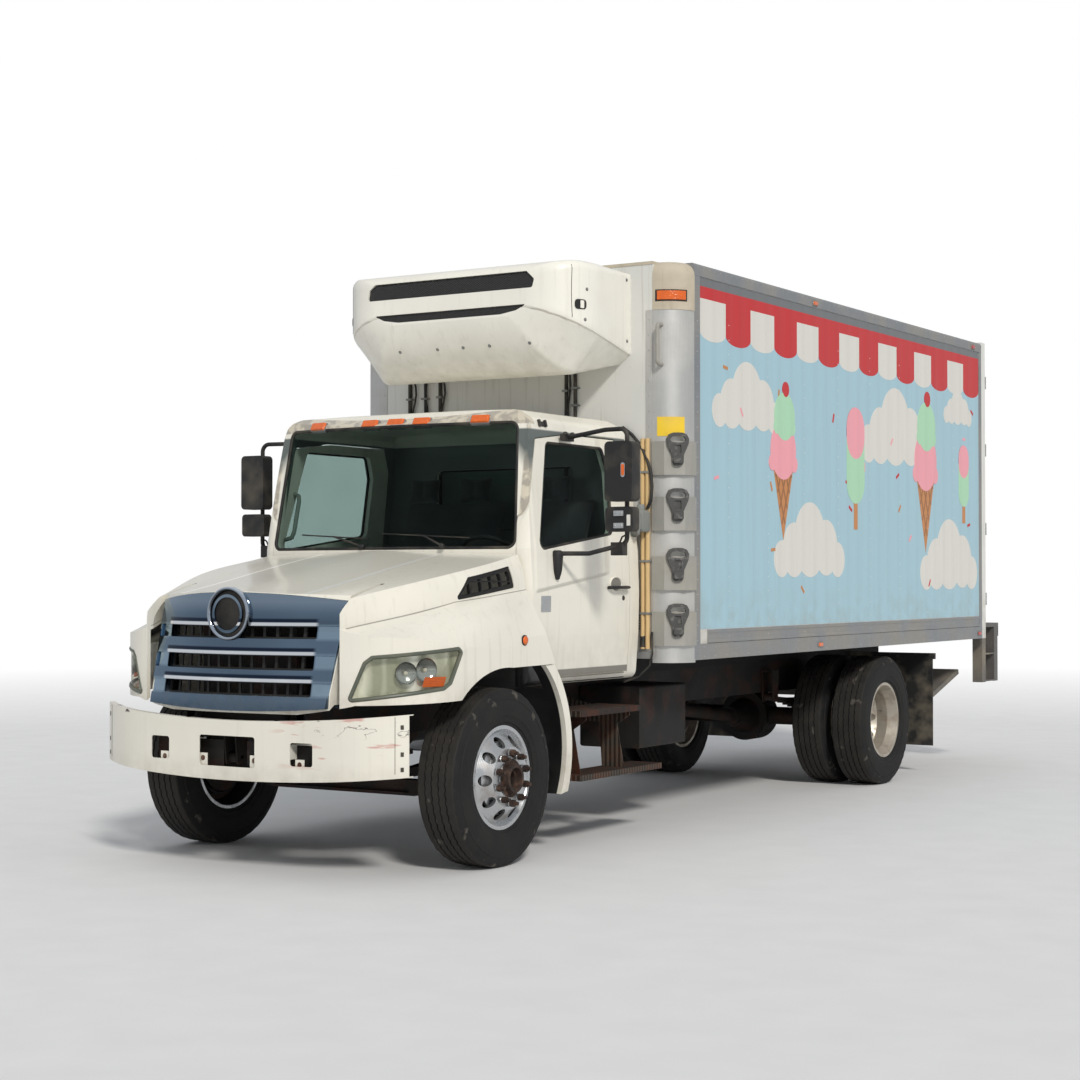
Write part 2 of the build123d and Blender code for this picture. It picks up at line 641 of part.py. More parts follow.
def steering_wheel():
    """Rim, hub and three spokes, square to the column."""
    ring = Torus(STEERING_RADIUS, 15)
    boss = Cylinder(52, 44)
    wheel = ring + boss
    for turn in (90, 210, 330):
        wheel += Rot(Z=turn) * Pos(130, 0, 0) * Box(190, 30, 12)
    wheel += Pos(0, 0, -STEERING_SHAFT / 2) * Cylinder(STEERING_SHAFT_RADIUS, STEERING_SHAFT)
    return wheel_place() * wheel


def seats():
    """The driver's seat and the wider passenger seat, each a cushion and a back."""
    pieces = []
    for x0, x1 in ((230, 730), (-760, 60)):
        cushion = fillet(block(x0, x1, 1080, 1560, 1450, 1570).edges().filter_by(Axis.X), 35)
        base = block(x0 + 60, x1 - 60, 1120, 1520, CAB_FLOOR_Z + FLOOR_THICKNESS, 1450)
        back = from_side(polygon([(1480, 1570), (1590, 1570), (1680, 2150), (1590, 2150)], 30), x0, x1)
        rest = from_side(polygon([(1600, 2150 + SEAT_GAP), (1670, 2150 + SEAT_GAP), (1690, 2330), (1620, 2330)], 20),
                         (x0 + x1) / 2 - 130, (x0 + x1) / 2 + 130)
        pieces += [joined(cushion, base, back, rest)]
    return pieces


def fender_guards():
    """The curved guard under each fender's rear edge, in front of the door."""
    outline = ThreePointArc((455, 1136), (640, 900), (632, 360))
    outline += Line((632, 360), (712, 372))
    outline += ThreePointArc((712, 372), (728, 850), (560, 1136))
    outline += Line((560, 1136), (455, 1136))
    face = make_face(outline)
    skin = from_side(face, 1112, 1134)
    inner = ThreePointArc((455, 1136), (640, 900), (632, 360))
    inner += Line((632, 360), (642, 361))
    inner += ThreePointArc((642, 361), (650, 902), (468, 1136))
    inner += Line((468, 1136), (455, 1136))
    splash = from_side(make_face(inner), 830, 1112)
    splash -= block(800, CAB_HALF_WIDTH + 12, 300, 900, CAB_FLOOR_Z - 12, 1300)
    stay = block(RAIL_OUTER_X, 860, 655, 695, 900, 940) + block(830, 860, 640, 695, 880, 940)
    return both(joined(skin, splash, stay))


STEP_UPPER_Z = 838
STEP_LOWER_Z = 446


def cab_steps():
    """Two treads under each door on brackets out from the frame rail."""
    upper = block(800, 1118, 900, 1640, STEP_UPPER_Z - 36, STEP_UPPER_Z)
    upper -= block(808, 1110, 908, 1632, STEP_UPPER_Z - 36, STEP_UPPER_Z - 6)
    lower = block(880, 1112, 900, 1930, STEP_LOWER_Z - 36, STEP_LOWER_Z)
    lower -= block(888, 1104, 908, 1922, STEP_LOWER_Z - 36, STEP_LOWER_Z - 6)
    pieces = [upper, lower]
    for y in (980, 1520):
        outline = [(RAIL_OUTER_X, RAIL_TOP - 60), (RAIL_OUTER_X + 40, RAIL_TOP - 60), (840, STEP_UPPER_Z - 4),
                   (1100, STEP_UPPER_Z - 4), (1100, STEP_UPPER_Z - 60), (1010, STEP_UPPER_Z - 120),
                   (1060, STEP_LOWER_Z - 4), (1060, STEP_LOWER_Z - 34), (900, STEP_LOWER_Z - 34),
                   (880, STEP_UPPER_Z - 110), (RAIL_OUTER_X, RAIL_BOTTOM + 10)]
        pieces.append(from_front(polygon(outline), y, y + 8))
    return both(joined(*pieces))


def battery_box():
    """The closed box on the left rail behind the steps."""
    case = block(RAIL_OUTER_X + 12, 900, 2010, 2660, 520, 930)
    case = fillet(case.edges().filter_by(Axis.Y), 20)
    ledge = [block(RAIL_OUTER_X, RAIL_OUTER_X + 12, y, y + 60, 560, 900) for y in (2080, 2520)]
    return joined(case, *ledge)


# Hood, fenders and what they carry

# Half sections across the hood by station: the top out to the shoulder, the side down to the
# parting line, and the fender out to its foot, as (x, z)
HOOD_SECTIONS = [
    (-1130, [[(0, 1570), (350, 1545), (560, 1515), (655, 1488)], [(676, 1440), (690, 1345)],
             [(770, 1305), (900, 1262), (1010, 1215), (1070, 1130)]]),
    (-900, [[(0, 1603), (360, 1580), (580, 1558), (690, 1534)], [(712, 1490), (728, 1385)],
            [(815, 1352), (950, 1312), (1060, 1262), (1110, 1180)]]),
    (-600, [[(0, 1653), (365, 1632), (640, 1615), (800, 1600)], [(835, 1545), (868, 1448)],
            [(955, 1415), (1050, 1358), (1112, 1292), (1136, 1200)]]),
    (-250, [[(0, 1714), (365, 1698), (700, 1684), (925, 1674)], [(960, 1610), (975, 1512)],
            [(1045, 1468), (1105, 1395), (1132, 1312), (1142, 1200)]]),
    (120, [[(0, 1780), (360, 1764), (720, 1750), (965, 1738)], [(992, 1680), (1002, 1562)],
           [(1060, 1500), (1110, 1410), (1134, 1320), (1142, 1200)]]),
    (HOOD_REAR_Y + 130, [[(0, 1858), (345, 1844), (740, 1834), (975, 1822)], [(1008, 1740), (1020, 1600)],
                         [(1062, 1520), (1104, 1420), (1130, 1330), (1140, 1200)]]),
]


def hood_loft(inset):
    """The hood's upper form, smooth from section to section, moved inward by inset."""
    faces = []
    for y, runs in HOOD_SECTIONS:
        moved = [[(max(x - inset, 0), z - inset) for x, z in run] for run in runs]
        top, side, fender = moved
        level = [(1, 0), (top[-1][0] - top[-2][0], top[-1][1] - top[-2][1])]
        right = [Spline(*top, tangents=level), Spline(top[-1], *side), Spline(side[-1], *fender)]
        x = fender[-1][0]
        left = [edge.mirror(Plane.YZ) for edge in right]
        foot = Polyline(fender[-1], (x, 860), (-x, 860), (-x, fender[-1][1]))
        outline = Wire([edge for curve in right + left + [foot] for edge in curve.edges()])
        faces.append(Plane.XZ.offset(-y) * make_face(outline))
    return loft([face.faces()[0] for face in faces])


def hood_plan(inset):
    """The hood's plan, with the round corner that holds the headlamp."""
    x = 1138 - inset
    front = -1058 + inset
    outline = ThreePointArc((-690 + inset, -968 + inset), (0, front), (690 - inset, -968 + inset))
    outline += ThreePointArc((690 - inset, -968 + inset), (1000 - inset, -790 + inset), (x, -380 + inset))
    outline += Polyline((x, -380 + inset), (x + 4, 700), (-x - 4, 700), (-x, -380 + inset))
    outline += ThreePointArc((-x, -380 + inset), (inset - 1000, -790 + inset), (inset - 690, inset - 968))
    return from_top(make_face(outline), 800, 2000)


def nose_form(inset):
    """The leaning, curved block behind the grille's face."""
    faces = []
    for z, half, corner, middle in ((880, 640, -1018, -1062), (1620, 676, -810, -1046)):
        x = half - inset * 0.4
        outline = ThreePointArc((-x, corner + inset), (0, middle + inset), (x, corner + inset))
        outline += Polyline((x, corner + inset), (x, -500), (-x, -500), (-x, corner + inset))
        faces.append(Plane.XY.offset(z) * make_face(outline))
    return loft(faces, ruled=True)


GRILLE_TOP = [1575, 1528]
GRILLE_BOTTOM = [913, 939]
GRILLE_REAR_Y = -770
GRILLE_TOP_X = 672
GRILLE_BOTTOM_X = 636


def grille_zone(inset):
    """The grille's front outline: a crowned trapezoid."""
    top = [z - inset for z in GRILLE_TOP]
    bottom = [z + inset for z in GRILLE_BOTTOM]
    x1 = GRILLE_TOP_X - inset
    x0 = GRILLE_BOTTOM_X - inset
    outline = ThreePointArc((-x1, top[1]), (0, top[0]), (x1, top[1]))
    outline += Line((x1, top[1]), (x0, bottom[1]))
    outline += ThreePointArc((x0, bottom[1]), (0, bottom[0]), (-x0, bottom[1]))
    outline += Line((-x0, bottom[1]), (-x1, top[1]))
    return from_front(make_face(outline), -1300, -600)


def hood_block(inset):
    form = hood_loft(inset) & hood_plan(inset)
    above = block(-700, 700, -1300, -500, 880, 1620) - nose_form(inset)
    return form - above


LAMP_PLANE = Plane(origin=(0, 0, 0), x_dir=(1, 1, 0), z_dir=(1, -1, 0))
# Headlamp corners across the diagonal and up: inner bottom, inner top, rear top, rear bottom
LAMP_INNER_X = 704
LAMP_OUTLINE = [(-142, 985), (-60, 1190), (-20, 1222), (478, 1262), (496, 1240), (425, 1075), (380, 1045)]


def lamp_zone(grow):
    face = polygon(LAMP_OUTLINE, 14)
    face = offset(face, amount=grow) if grow else face
    return extrude(LAMP_PLANE * face, amount=1600)


VENT_OUTLINE = [(-262, 1524), (-130, 1656), (292, 1722), (314, 1594)]
VENT_BAND = [(-215, 1549), (-118, 1632), (272, 1692), (286, 1616)]


def vent_zone(grow):
    face = polygon(VENT_OUTLINE, 14)
    face = offset(face, amount=grow) if grow else face
    return from_side(face, 860, 1250)


def hood_parts():
    """Hood shell, grille, headlamps and the black grilles behind and beside."""
    outer = hood_block(0)
    inner = hood_block(HOOD_WALL)
    shell = outer - inner - block(-1100, 1100, -930, 700, 700, 900)
    cowl = from_top(cab_plan_face(-COWL_GAP), CAB_FLOOR_Z, 2100)
    shell = shell - (cowl & block(-CAB_HALF_WIDTH - 4, CAB_HALF_WIDTH + 4, 0, 900, 900, 2100))
    arch = ThreePointArc((-430, 975), (-180, 1108), (95, 1136))
    arch += Polyline((95, 1136), (470, 1140), (560, 1143), (470, 1290), (HOOD_REAR_Y, 1420),
                     (HOOD_REAR_Y, 2000), (900, 2000), (900, 700), (-1300, 700), (-1300, 900), (-1020, 905),
                     (-940, 960), (-430, 975))
    shell = shell - from_side(make_face(arch), -1300, 1300)
    opening = grille_zone(1)
    shell = shell - (opening & block(-1300, 1300, -1300, GRILLE_REAR_Y + 2, 800, 2000))
    lamp_hole = lamp_zone(0) & block(LAMP_INNER_X - SEAT_GAP, 1300, -1300, 0, 900, 1400)
    for zone in (lamp_hole, vent_zone(0)):
        shell = shell - zone - mirrored(zone)
    skin = hood_block(4) - hood_block(HOOD_WALL + 14)
    lamp = skin & lamp_zone(-SEAT_GAP) & block(LAMP_INNER_X, 1300, -1300, 0, 900, 1400)
    vent = (hood_block(5) - inner) & vent_zone(-SEAT_GAP)
    band = from_side(polygon(VENT_BAND, 8), 860, 1300)
    for index in range(5):
        y = VENT_BAND[0][0] + 101 * index
        vent = vent - (band & block(860, 1300, y, y + 88, 1500, 1628))
        vent = vent - (band & block(860, 1300, y, y + 88, 1636, 1750))
    arm = from_side(polygon([(HINGE_Y - 20, HINGE_Z - 18), (HINGE_Y + 24, HINGE_Z - 20),
                             (HINGE_Y + 92, HINGE_Z + 104), (HINGE_Y + 80, HINGE_Z + 150),
                             (HINGE_Y + 36, HINGE_Z + 190), (HINGE_Y + 13, HINGE_Z + 190),
                             (HINGE_Y + 13, HINGE_Z + 150), (HINGE_Y + 52, HINGE_Z + 112)], 6),
                    HINGE_ARM_X, HINGE_ARM_X + 20)
    arm = arm - rod((HINGE_ARM_X - 10, HINGE_Y, HINGE_Z), (HINGE_ARM_X + 30, HINGE_Y, HINGE_Z),
                    HINGE_PIN_RADIUS + RUNNING_GAP)
    arms = both(arm)
    return shell, lamp, vent, arms


# Slots of the grille from the top, as (top z, bottom z)
GRILLE_SLOTS = [(1388, 1318), (1228, 1146), (1078, 1002)]
SLOT_HALF_WIDTH = 530
EMBLEM_Z = 1454
EMBLEM_RADIUS = 108


def grille_parts(arms):
    """The chrome grille with its bars and bare ring, and the black core behind it."""
    depth = block(-1300, 1300, -1300, GRILLE_REAR_Y, 800, 2000)
    zone = grille_zone(2) & depth
    frame = (nose_form(2) - nose_form(40)) & zone
    proud = (nose_form(-10) - nose_form(2)) & zone
    for top, bottom in GRILLE_SLOTS:
        slot = from_front(Pos(0, (top + bottom) / 2) * RectangleRounded(2 * SLOT_HALF_WIDTH, top - bottom, 10),
                          -1300, -700)
        groove = block(-GRILLE_TOP_X + 26, GRILLE_TOP_X - 26, -1300, -700, bottom, top)
        frame = frame - slot
        proud = proud - groove
    ring = Pos(0, -1062, EMBLEM_Z) * Rot(X=90) * (Cylinder(EMBLEM_RADIUS, 36) - Cylinder(EMBLEM_RADIUS - 16, 40))
    disc = Pos(0, -1052, EMBLEM_Z) * Rot(X=90) * Cylinder(EMBLEM_RADIUS - 16, 26)
    chrome = joined(frame, proud, ring, disc)
    core = (nose_form(41) - nose_form(52)) & grille_zone(14) & depth
    for top, bottom in GRILLE_SLOTS:
        for index in range(-6, 7):
            x = 80 * index
            core = core - block(x - 32, x + 32, -1300, -700, bottom + 8, top - 8)
    core = joined(core, *arms)
    return chrome, core


# Side mirrors

MIRROR_X = 1420
MIRROR_Y = 889


def mirror_set():
    """Two mirror heads on a bent tube from the door, with the lamp housing under them."""
    top_foot = (968, 960, 2516)
    low_foot = (1006, 765, 1800)
    main = block(MIRROR_X - 95, MIRROR_X + 95, MIRROR_Y - 70, MIRROR_Y + 30, 2112, 2474)
    main = fillet(main.edges().filter_by(Axis.Y), 30)
    convex = block(MIRROR_X - 95, MIRROR_X + 95, MIRROR_Y - 60, MIRROR_Y + 20, 1930, 2080)
    convex = fillet(convex.edges().filter_by(Axis.Y), 26)
    tube = bent_rod([top_foot, (1250, 960, 2556), (MIRROR_X, 930, 2556), (MIRROR_X, 930, 1860), (1200, 850, 1800),
                     low_foot], 50, 14)
    clamp = [block(MIRROR_X - 20, MIRROR_X + 20, MIRROR_Y + 10, MIRROR_Y + 41, z, z + 60) for z in (2200, 2380, 1975)]
    cap = Pos(low_foot[0] + 20, low_foot[1], low_foot[2] - 50) * Cylinder(28, 110)
    pad = block(top_foot[0] - 6, top_foot[0] + 24, top_foot[1] - 60, top_foot[1] + 60, 2496, 2536)
    return joined(tube, main, convex, *clamp, cap, pad)


# Box body

FLOOR_MEMBER_STEP = 305
DECK_BOTTOM_Z = LOAD_FLOOR_Z - 75


def corner_space():
    """The square at each front corner that the round post and its cap fill."""
    x = BOX_HALF_WIDTH - CORNER_RADIUS
    return block(x, x + 400, BOX_FRONT_Y - 50, BOX_FRONT_Y + CORNER_RADIUS, 900, 4000)


def box_floor():
    """Insulated floor on cross members and two long sills over the frame rails."""
    half = BOX_HALF_WIDTH - 25
    y0 = BOX_FRONT_Y + BOX_WALL
    y1 = BOX_REAR_Y - REAR_FRAME_DEPTH
    inside = BOX_HALF_WIDTH - BOX_WALL
    deck = block(-inside, inside, y0, y1, DECK_BOTTOM_Z, LOAD_FLOOR_Z)
    pieces = [deck]
    count = int((y1 - y0) // FLOOR_MEMBER_STEP)
    for index in range(count + 1):
        y = y0 + index * (y1 - y0 - 60) / count
        pieces.append(block(-half, half, y, y + 60, BOX_BOTTOM_Z, DECK_BOTTOM_Z))
    sill = block(RAIL_OUTER_X - RAIL_FLANGE, RAIL_OUTER_X, BOX_FRONT_Y + 60, RAIL_REAR_Y, RAIL_TOP, BOX_BOTTOM_Z)
    floor = joined(*pieces) - corner_space() - mirrored(corner_space())
    return floor, sill, mirrored(sill)


def box_front_wall():
    """The front wall between the round corner posts."""
    half = BOX_HALF_WIDTH - CORNER_RADIUS
    return block(-half, half, BOX_FRONT_Y, BOX_FRONT_Y + BOX_WALL, BOX_BOTTOM_Z, BOX_TOP_Z - 32)


def box_sides():
    y0 = BOX_FRONT_Y + CORNER_RADIUS
    y1 = BOX_REAR_Y - REAR_FRAME_DEPTH
    outer = BOX_HALF_WIDTH - PANEL_INSET
    wall = block(BOX_HALF_WIDTH - BOX_WALL, outer, y0, y1, BOX_BOTTOM_Z + 92, BOX_TOP_Z - 92)
    return both(wall)


def box_roof():
    half = BOX_HALF_WIDTH - BOX_WALL
    y0 = BOX_FRONT_Y + BOX_WALL
    y1 = BOX_REAR_Y - REAR_FRAME_DEPTH
    crown = ThreePointArc((-half, BOX_TOP_Z - 12), (0, BOX_TOP_Z), (half, BOX_TOP_Z - 12))
    crown += Polyline((half, BOX_TOP_Z - 12), (half, BOX_TOP_Z - 92), (-half, BOX_TOP_Z - 92),
                      (-half, BOX_TOP_Z - 12))
    roof = from_front(make_face(crown), y0, y1)
    return roof - corner_space() - mirrored(corner_space())


def box_rails():
    """Top and bottom side rails, the kick strip and the edge strips of the panels."""
    y0 = BOX_FRONT_Y + CORNER_RADIUS
    y1 = BOX_REAR_Y - REAR_FRAME_DEPTH
    x = BOX_HALF_WIDTH
    inside = x - PANEL_INSET
    bottom = [(x - 25, BOX_BOTTOM_Z), (x - 6, BOX_BOTTOM_Z - 12), (x, BOX_BOTTOM_Z - 12), (x, BOX_BOTTOM_Z + 92),
              (x - 25, BOX_BOTTOM_Z + 92)]
    rail = from_front(polygon(bottom), y0, y1)
    kick = from_front(polygon([(inside, BOX_BOTTOM_Z + 92), (x, BOX_BOTTOM_Z + 96), (x, BOX_BOTTOM_Z + 108),
                               (x - 4, BOX_BOTTOM_Z + 116), (x - 4, BOX_BOTTOM_Z + 156), (x, BOX_BOTTOM_Z + 164),
                               (x, BOX_BOTTOM_Z + 180), (inside, BOX_BOTTOM_Z + 184)]), y0 + 195, y1 - 60)
    top = [(x - BOX_WALL, BOX_TOP_Z - 92), (x, BOX_TOP_Z - 92), (x, BOX_TOP_Z - 28), (x - 14, BOX_TOP_Z - 12),
           (x - BOX_WALL, BOX_TOP_Z - 12)]
    cap = from_front(polygon(top), y0, y1)
    front_strip = block(inside, x - 1, y0, y0 + 85, BOX_BOTTOM_Z + 92, BOX_TOP_Z - 92)
    rear_strip = block(inside, x - 1, y1 - 60, y1, BOX_BOTTOM_Z + 92, BOX_TOP_Z - 92)
    front_sill = block(-x + CORNER_RADIUS, x - CORNER_RADIUS, BOX_FRONT_Y - 14, BOX_FRONT_Y, BOX_BOTTOM_Z,
                       BOX_BOTTOM_Z + 50)
    return both(joined(rail, kick, front_strip, rear_strip, cap)) + [front_sill]


POST_TOP_Z = 3400
POST_FLANGE = 4
CAP_BROW = 90


def quarter_ring(outer, inner, z0, z1):
    """A quarter ring about the left front corner's centre."""
    centre = (BOX_HALF_WIDTH - CORNER_RADIUS, BOX_FRONT_Y + CORNER_RADIUS)
    ring = Pos(centre[0], centre[1], (z0 + z1) / 2) * (Cylinder(outer, z1 - z0) - Cylinder(inner, z1 - z0))
    return ring & block(centre[0], centre[0] + outer, centre[1] - outer, centre[1], z0, z1)


def corner_posts():
    """The bright round front corners with their riveted flanges."""
    wall = quarter_ring(CORNER_RADIUS, CORNER_RADIUS - BOX_WALL, BOX_BOTTOM_Z - 20, POST_TOP_Z)
    lip = quarter_ring(CORNER_RADIUS + 6, CORNER_RADIUS - 2, BOX_BOTTOM_Z - 26, BOX_BOTTOM_Z - 4)
    front_flange = block(BOX_HALF_WIDTH - CORNER_RADIUS - 50, BOX_HALF_WIDTH - CORNER_RADIUS,
                         BOX_FRONT_Y - POST_FLANGE, BOX_FRONT_Y, BOX_BOTTOM_Z + 50, POST_TOP_Z)
    return both(joined(wall, lip), front_flange)


def corner_caps():
    """Painted cap above each bright post, up to the roof edge."""
    cap = quarter_ring(CORNER_RADIUS + 4, CORNER_RADIUS - BOX_WALL, POST_TOP_Z, BOX_TOP_Z - 32)
    cap += quarter_ring(CORNER_RADIUS + 4, 1, BOX_TOP_Z - 32, BOX_TOP_Z - 12)
    brow = [edge for edge in cap.edges().filter_by(GeomType.CIRCLE)
            if edge.radius > CORNER_RADIUS and edge.center().Z > BOX_TOP_Z - 13]
    cap = fillet(brow, CAP_BROW)
    half = BOX_HALF_WIDTH - CORNER_RADIUS
    beam = block(-half, half, BOX_FRONT_Y - 4, BOX_FRONT_Y + BOX_WALL, BOX_TOP_Z - 32, BOX_TOP_Z - 12)
    return joined(cap, mirrored(cap), beam)


def rear_frame():
    """The welded frame round the rear doors."""
    y0 = BOX_REAR_Y - REAR_FRAME_DEPTH
    x = BOX_HALF_WIDTH
    frame = block(-x, x, y0, BOX_REAR_Y, BOX_BOTTOM_Z - 12, BOX_TOP_Z)
    hole = block(REAR_POST_WIDTH - x, x - REAR_POST_WIDTH, y0, BOX_REAR_Y, LOAD_FLOOR_Z, BOX_TOP_Z - 170)
    return frame - hole


HINGE_X = BOX_HALF_WIDTH - 8
LEAF_HINGE_Y = BOX_REAR_Y + 16
LEAF_HINGES = [1480, 2100, 2800, 3400]


def rear_doors():
    """The left rear door leaf with hinge straps, lock rod and handle."""
    x0 = 5
    x1 = BOX_HALF_WIDTH - REAR_POST_WIDTH - 6
    y1 = BOX_REAR_Y + 2
    leaf = block(x0, x1, y1 - DOOR_LEAF_THICKNESS, y1, LOAD_FLOOR_Z + 8, BOX_TOP_Z - 178)
    pieces = [leaf]
    for z in LEAF_HINGES:
        pieces.append(block(x1 - 160, HINGE_X, y1, y1 + 8, z - 35, z + 35))
        pieces.append(Pos(HINGE_X, LEAF_HINGE_Y, z) * Cylinder(12, 70))
    rod_x = 330
    pieces.append(rod((rod_x, y1 + 26, LOAD_FLOOR_Z + 20), (rod_x, y1 + 26, BOX_TOP_Z - 190), 13))
    for z in (1400, 1900, 2700, 3450):
        pieces.append(block(rod_x - 35, rod_x + 35, y1, y1 + 26, z - 25, z + 25))
    pieces.append(block(rod_x - 10, rod_x + 260, y1 + 14, y1 + 34, 1585, 1615))
    pieces.append(block(rod_x + 215, rod_x + 255, y1, y1 + 20, 1590, 1610))
    left = joined(*pieces)
    bore = 6 + RUNNING_GAP
    posts = []
    for z in LEAF_HINGES:
        left = left - Pos(HINGE_X, LEAF_HINGE_Y, z) * Cylinder(bore, 72)
        lug = Pos(HINGE_X, LEAF_HINGE_Y, z - 55) * Cylinder(12, 36)
        lug += block(HINGE_X - 60, HINGE_X, BOX_REAR_Y, BOX_REAR_Y + 9, z - 73, z - 37)
        posts.append(joined(lug, Pos(HINGE_X, LEAF_HINGE_Y, z - 5) * Cylinder(6, 76)))
    return left, posts


# Refrigeration unit

# Sections of the unit by station, as (half width, top z, seam z, half width of the flat bottom,
# bottom z, corner); the cowl is smooth up to its widest section and straight behind it
UNIT_SECTIONS = [(1085, 600, 3585, 3380, 450, 3318, 25), (1094, 672, 3610, 3362, 490, 3290, 40),
                 (1125, 765, 3640, 3330, 545, 3215, 60), (1190, 850, 3662, 3290, 610, 3110, 60),
                 (1290, 906, 3672, 3250, 680, 3015, 60), (1430, 930, 3671, 3210, 745, 2962, 60),
                 (BOX_FRONT_Y, 930, 3650, 3115, 850, 3056, 25)]


def unit_form(inset):
    """The unit's outer form, or the same form moved inward by inset."""
    faces = []
    for y, half, top, seam, foot, low, corner in UNIT_SECTIONS:
        right = [(half - inset, top - inset), (half - inset, seam), (foot - inset, low + inset)]
        left = [(-x, z) for x, z in reversed(right)]
        depth = inset if y < UNIT_SECTIONS[-2][0] else 0
        outline = FilletPolyline(*(right + left), radius=max(corner - inset, 12), close=True)
        faces.append(make_face(Plane.XZ.offset(-y - depth) * outline).faces()[0])
    return loft(faces[:-1]) + loft(faces[-2:], ruled=True)


# Air openings in the unit's face, as corners (x, z) and their rounding
UNIT_GRILLES = [([(-655, 3490), (-640, 3560), (-590, 3598), (600, 3598), (655, 3545), (640, 3490)], 18),
                ([(-600, 3388), (-520, 3352), (-400, 3334), (400, 3334), (520, 3352), (600, 3388)], 4)]
SEAM_WIDTH = 12


def refrigeration_unit():
    """The closed cowl on the front wall and its dark air grilles."""
    form = unit_form(0)
    above = [(y - 40, seam) for y, _, _, seam, _, _, _ in UNIT_SECTIONS[:1]]
    above += [(y, seam) for y, _, _, seam, _, _, _ in UNIT_SECTIONS]
    band = above + [(y, z - SEAM_WIDTH) for y, z in reversed(above)]
    form = form - ((form - unit_form(8)) & from_side(polygon(band), -1000, 1000))
    core = unit_form(26)
    lining = unit_form(12) - core
    grilles = []
    for corners, rounding in UNIT_GRILLES:
        zone = from_front(polygon(corners, rounding), 1000, 1300)
        small = from_front(offset(polygon(corners, rounding), amount=-SEAT_GAP), 1000, 1300)
        form = form - (zone - core)
        grilles.append(lining & small)
    return form, grilles


# Hoses on the front wall below the unit, as (x, top z, radius)
UNIT_HOSES = [(-837, 3044, 14), (-709, 3044, 10), (-581, 3044, 13), (443, 3044, 12), (513, 3044, 12)]
CONDUIT_X = [1030, 1066]
CONDUIT_RADIUS = 15
CONDUIT_TOP = 2560
HOSE_FOOT_Z = 1190


def unit_pipes():
    pieces = []
    for x, top, radius in UNIT_HOSES:
        y = BOX_FRONT_Y - radius - SEAT_GAP
        pieces.append(rod((x, y, HOSE_FOOT_Z), (x, y, top), radius))
    y = BOX_FRONT_Y - CONDUIT_RADIUS - POST_FLANGE - SEAT_GAP
    for x in CONDUIT_X:
        pieces.append(rod((x, y, HOSE_FOOT_Z), (x, y, CONDUIT_TOP), CONDUIT_RADIUS))
    y -= CONDUIT_RADIUS + SEAT_GAP
    pieces.append(block(1008, 1088, y - 60, y, 1960, 2080))
    return pieces


# Folding steps on the left post, by height of their middle
STEP_HEIGHTS = [2445, 2083, 1696, 1335]
# Right halves of a folded step and of the eye in it, about the step's middle, as (x, z)
STIRRUP_OUTLINE = [(0, 150), (30, 149), (60, 138), (76, 108), (72, 76), (40, 4), (38, -48), (18, -68), (0, -68)]
STIRRUP_EYE = [(0, 128), (38, 124), (54, 106), (48, 92), (28, 86), (0, 84)]


def access_steps():
    """Four folded steps on faceted saddles round the post, and the grab handle above."""
    centre = (BOX_HALF_WIDTH - CORNER_RADIUS, BOX_FRONT_Y + CORNER_RADIUS)
    pieces = []
    for z in STEP_HEIGHTS:
        reach = CORNER_RADIUS + 1
        facets = Polyline((0, -reach - 14), (reach * 0.45, -reach - 12), (reach * 0.98, -reach * 0.62),
                          (reach + 12, -reach * 0.3), (reach + 14, 0))
        outline = facets + Line(facets @ 1, (reach, 0))
        outline += ThreePointArc((reach, 0), (reach * math.cos(math.pi / 4), -reach * math.sin(math.pi / 4)),
                                 (0, -reach))
        outline += Line((0, -reach), facets @ 0)
        saddle = from_top(Pos(centre[0], centre[1]) * make_face(outline), z - 125, z + 95)
        face_plane = Plane(origin=(centre[0] + (reach + 18) * 0.7071, centre[1] - (reach + 18) * 0.7071, z),
                           x_dir=(1, 1, 0), z_dir=(1, -1, 0))
        ring = polygon(mirrored_outline(STIRRUP_OUTLINE), 9)
        eye = polygon(mirrored_outline(STIRRUP_EYE), 9)
        tread = extrude(face_plane * (ring - eye), amount=22)
        tread -= extrude(face_plane.offset(12) * (Pos(0, 42) * RectangleRounded(44, 56, 8)), amount=20)
        barrel = extrude(face_plane * (Pos(0, -28) * RectangleRounded(64, 44, 8)), amount=38)
        foot = extrude(face_plane.offset(-16) * (Pos(0, -10) * Rectangle(60, 96)), amount=18)
        pieces.append(joined(saddle, foot, tread, barrel))
    x = centre[0] + 62
    y = BOX_FRONT_Y - 50
    handle = bent_rod([(x, BOX_FRONT_Y + 8, 3040), (x, y, 3040), (x, y, 3300), (x, BOX_FRONT_Y + 8, 3300)], 24, 13)
    handle = handle - quarter_ring(CORNER_RADIUS + SEAT_GAP, CORNER_RADIUS - 30, 2900, 3400)
    pieces += handle.solids()[:1] if len(handle.solids()) == 1 else [max(handle.solids(), key=lambda s: s.volume)]
    return pieces


# Marker lamps: name of the face they stand on, with their middle and size

def marker_lamps():
    lamps = []
    for x, y in ((0, 506), (198, 512), (-198, 512), (622, 548), (-622, 548)):
        lamp = block(x - 47, x + 47, y - 30, y + 24, 2606, 2652)
        lamps.append(lamp - cab_block(-SEAT_GAP))
    x = BOX_HALF_WIDTH
    top = BOX_TOP_Z - 62
    low = BOX_BOTTOM_Z + 46
    for side in (-1, 1):
        for y, z in ((3960, top), (7300, top), (4040, low), (7440, low)):
            lamps.append(block(side * (x + 8) - 8, side * (x + 8) + 8, y - 38, y + 38, z - 20, z + 20))
    return lamps


# Liftgate at the rear

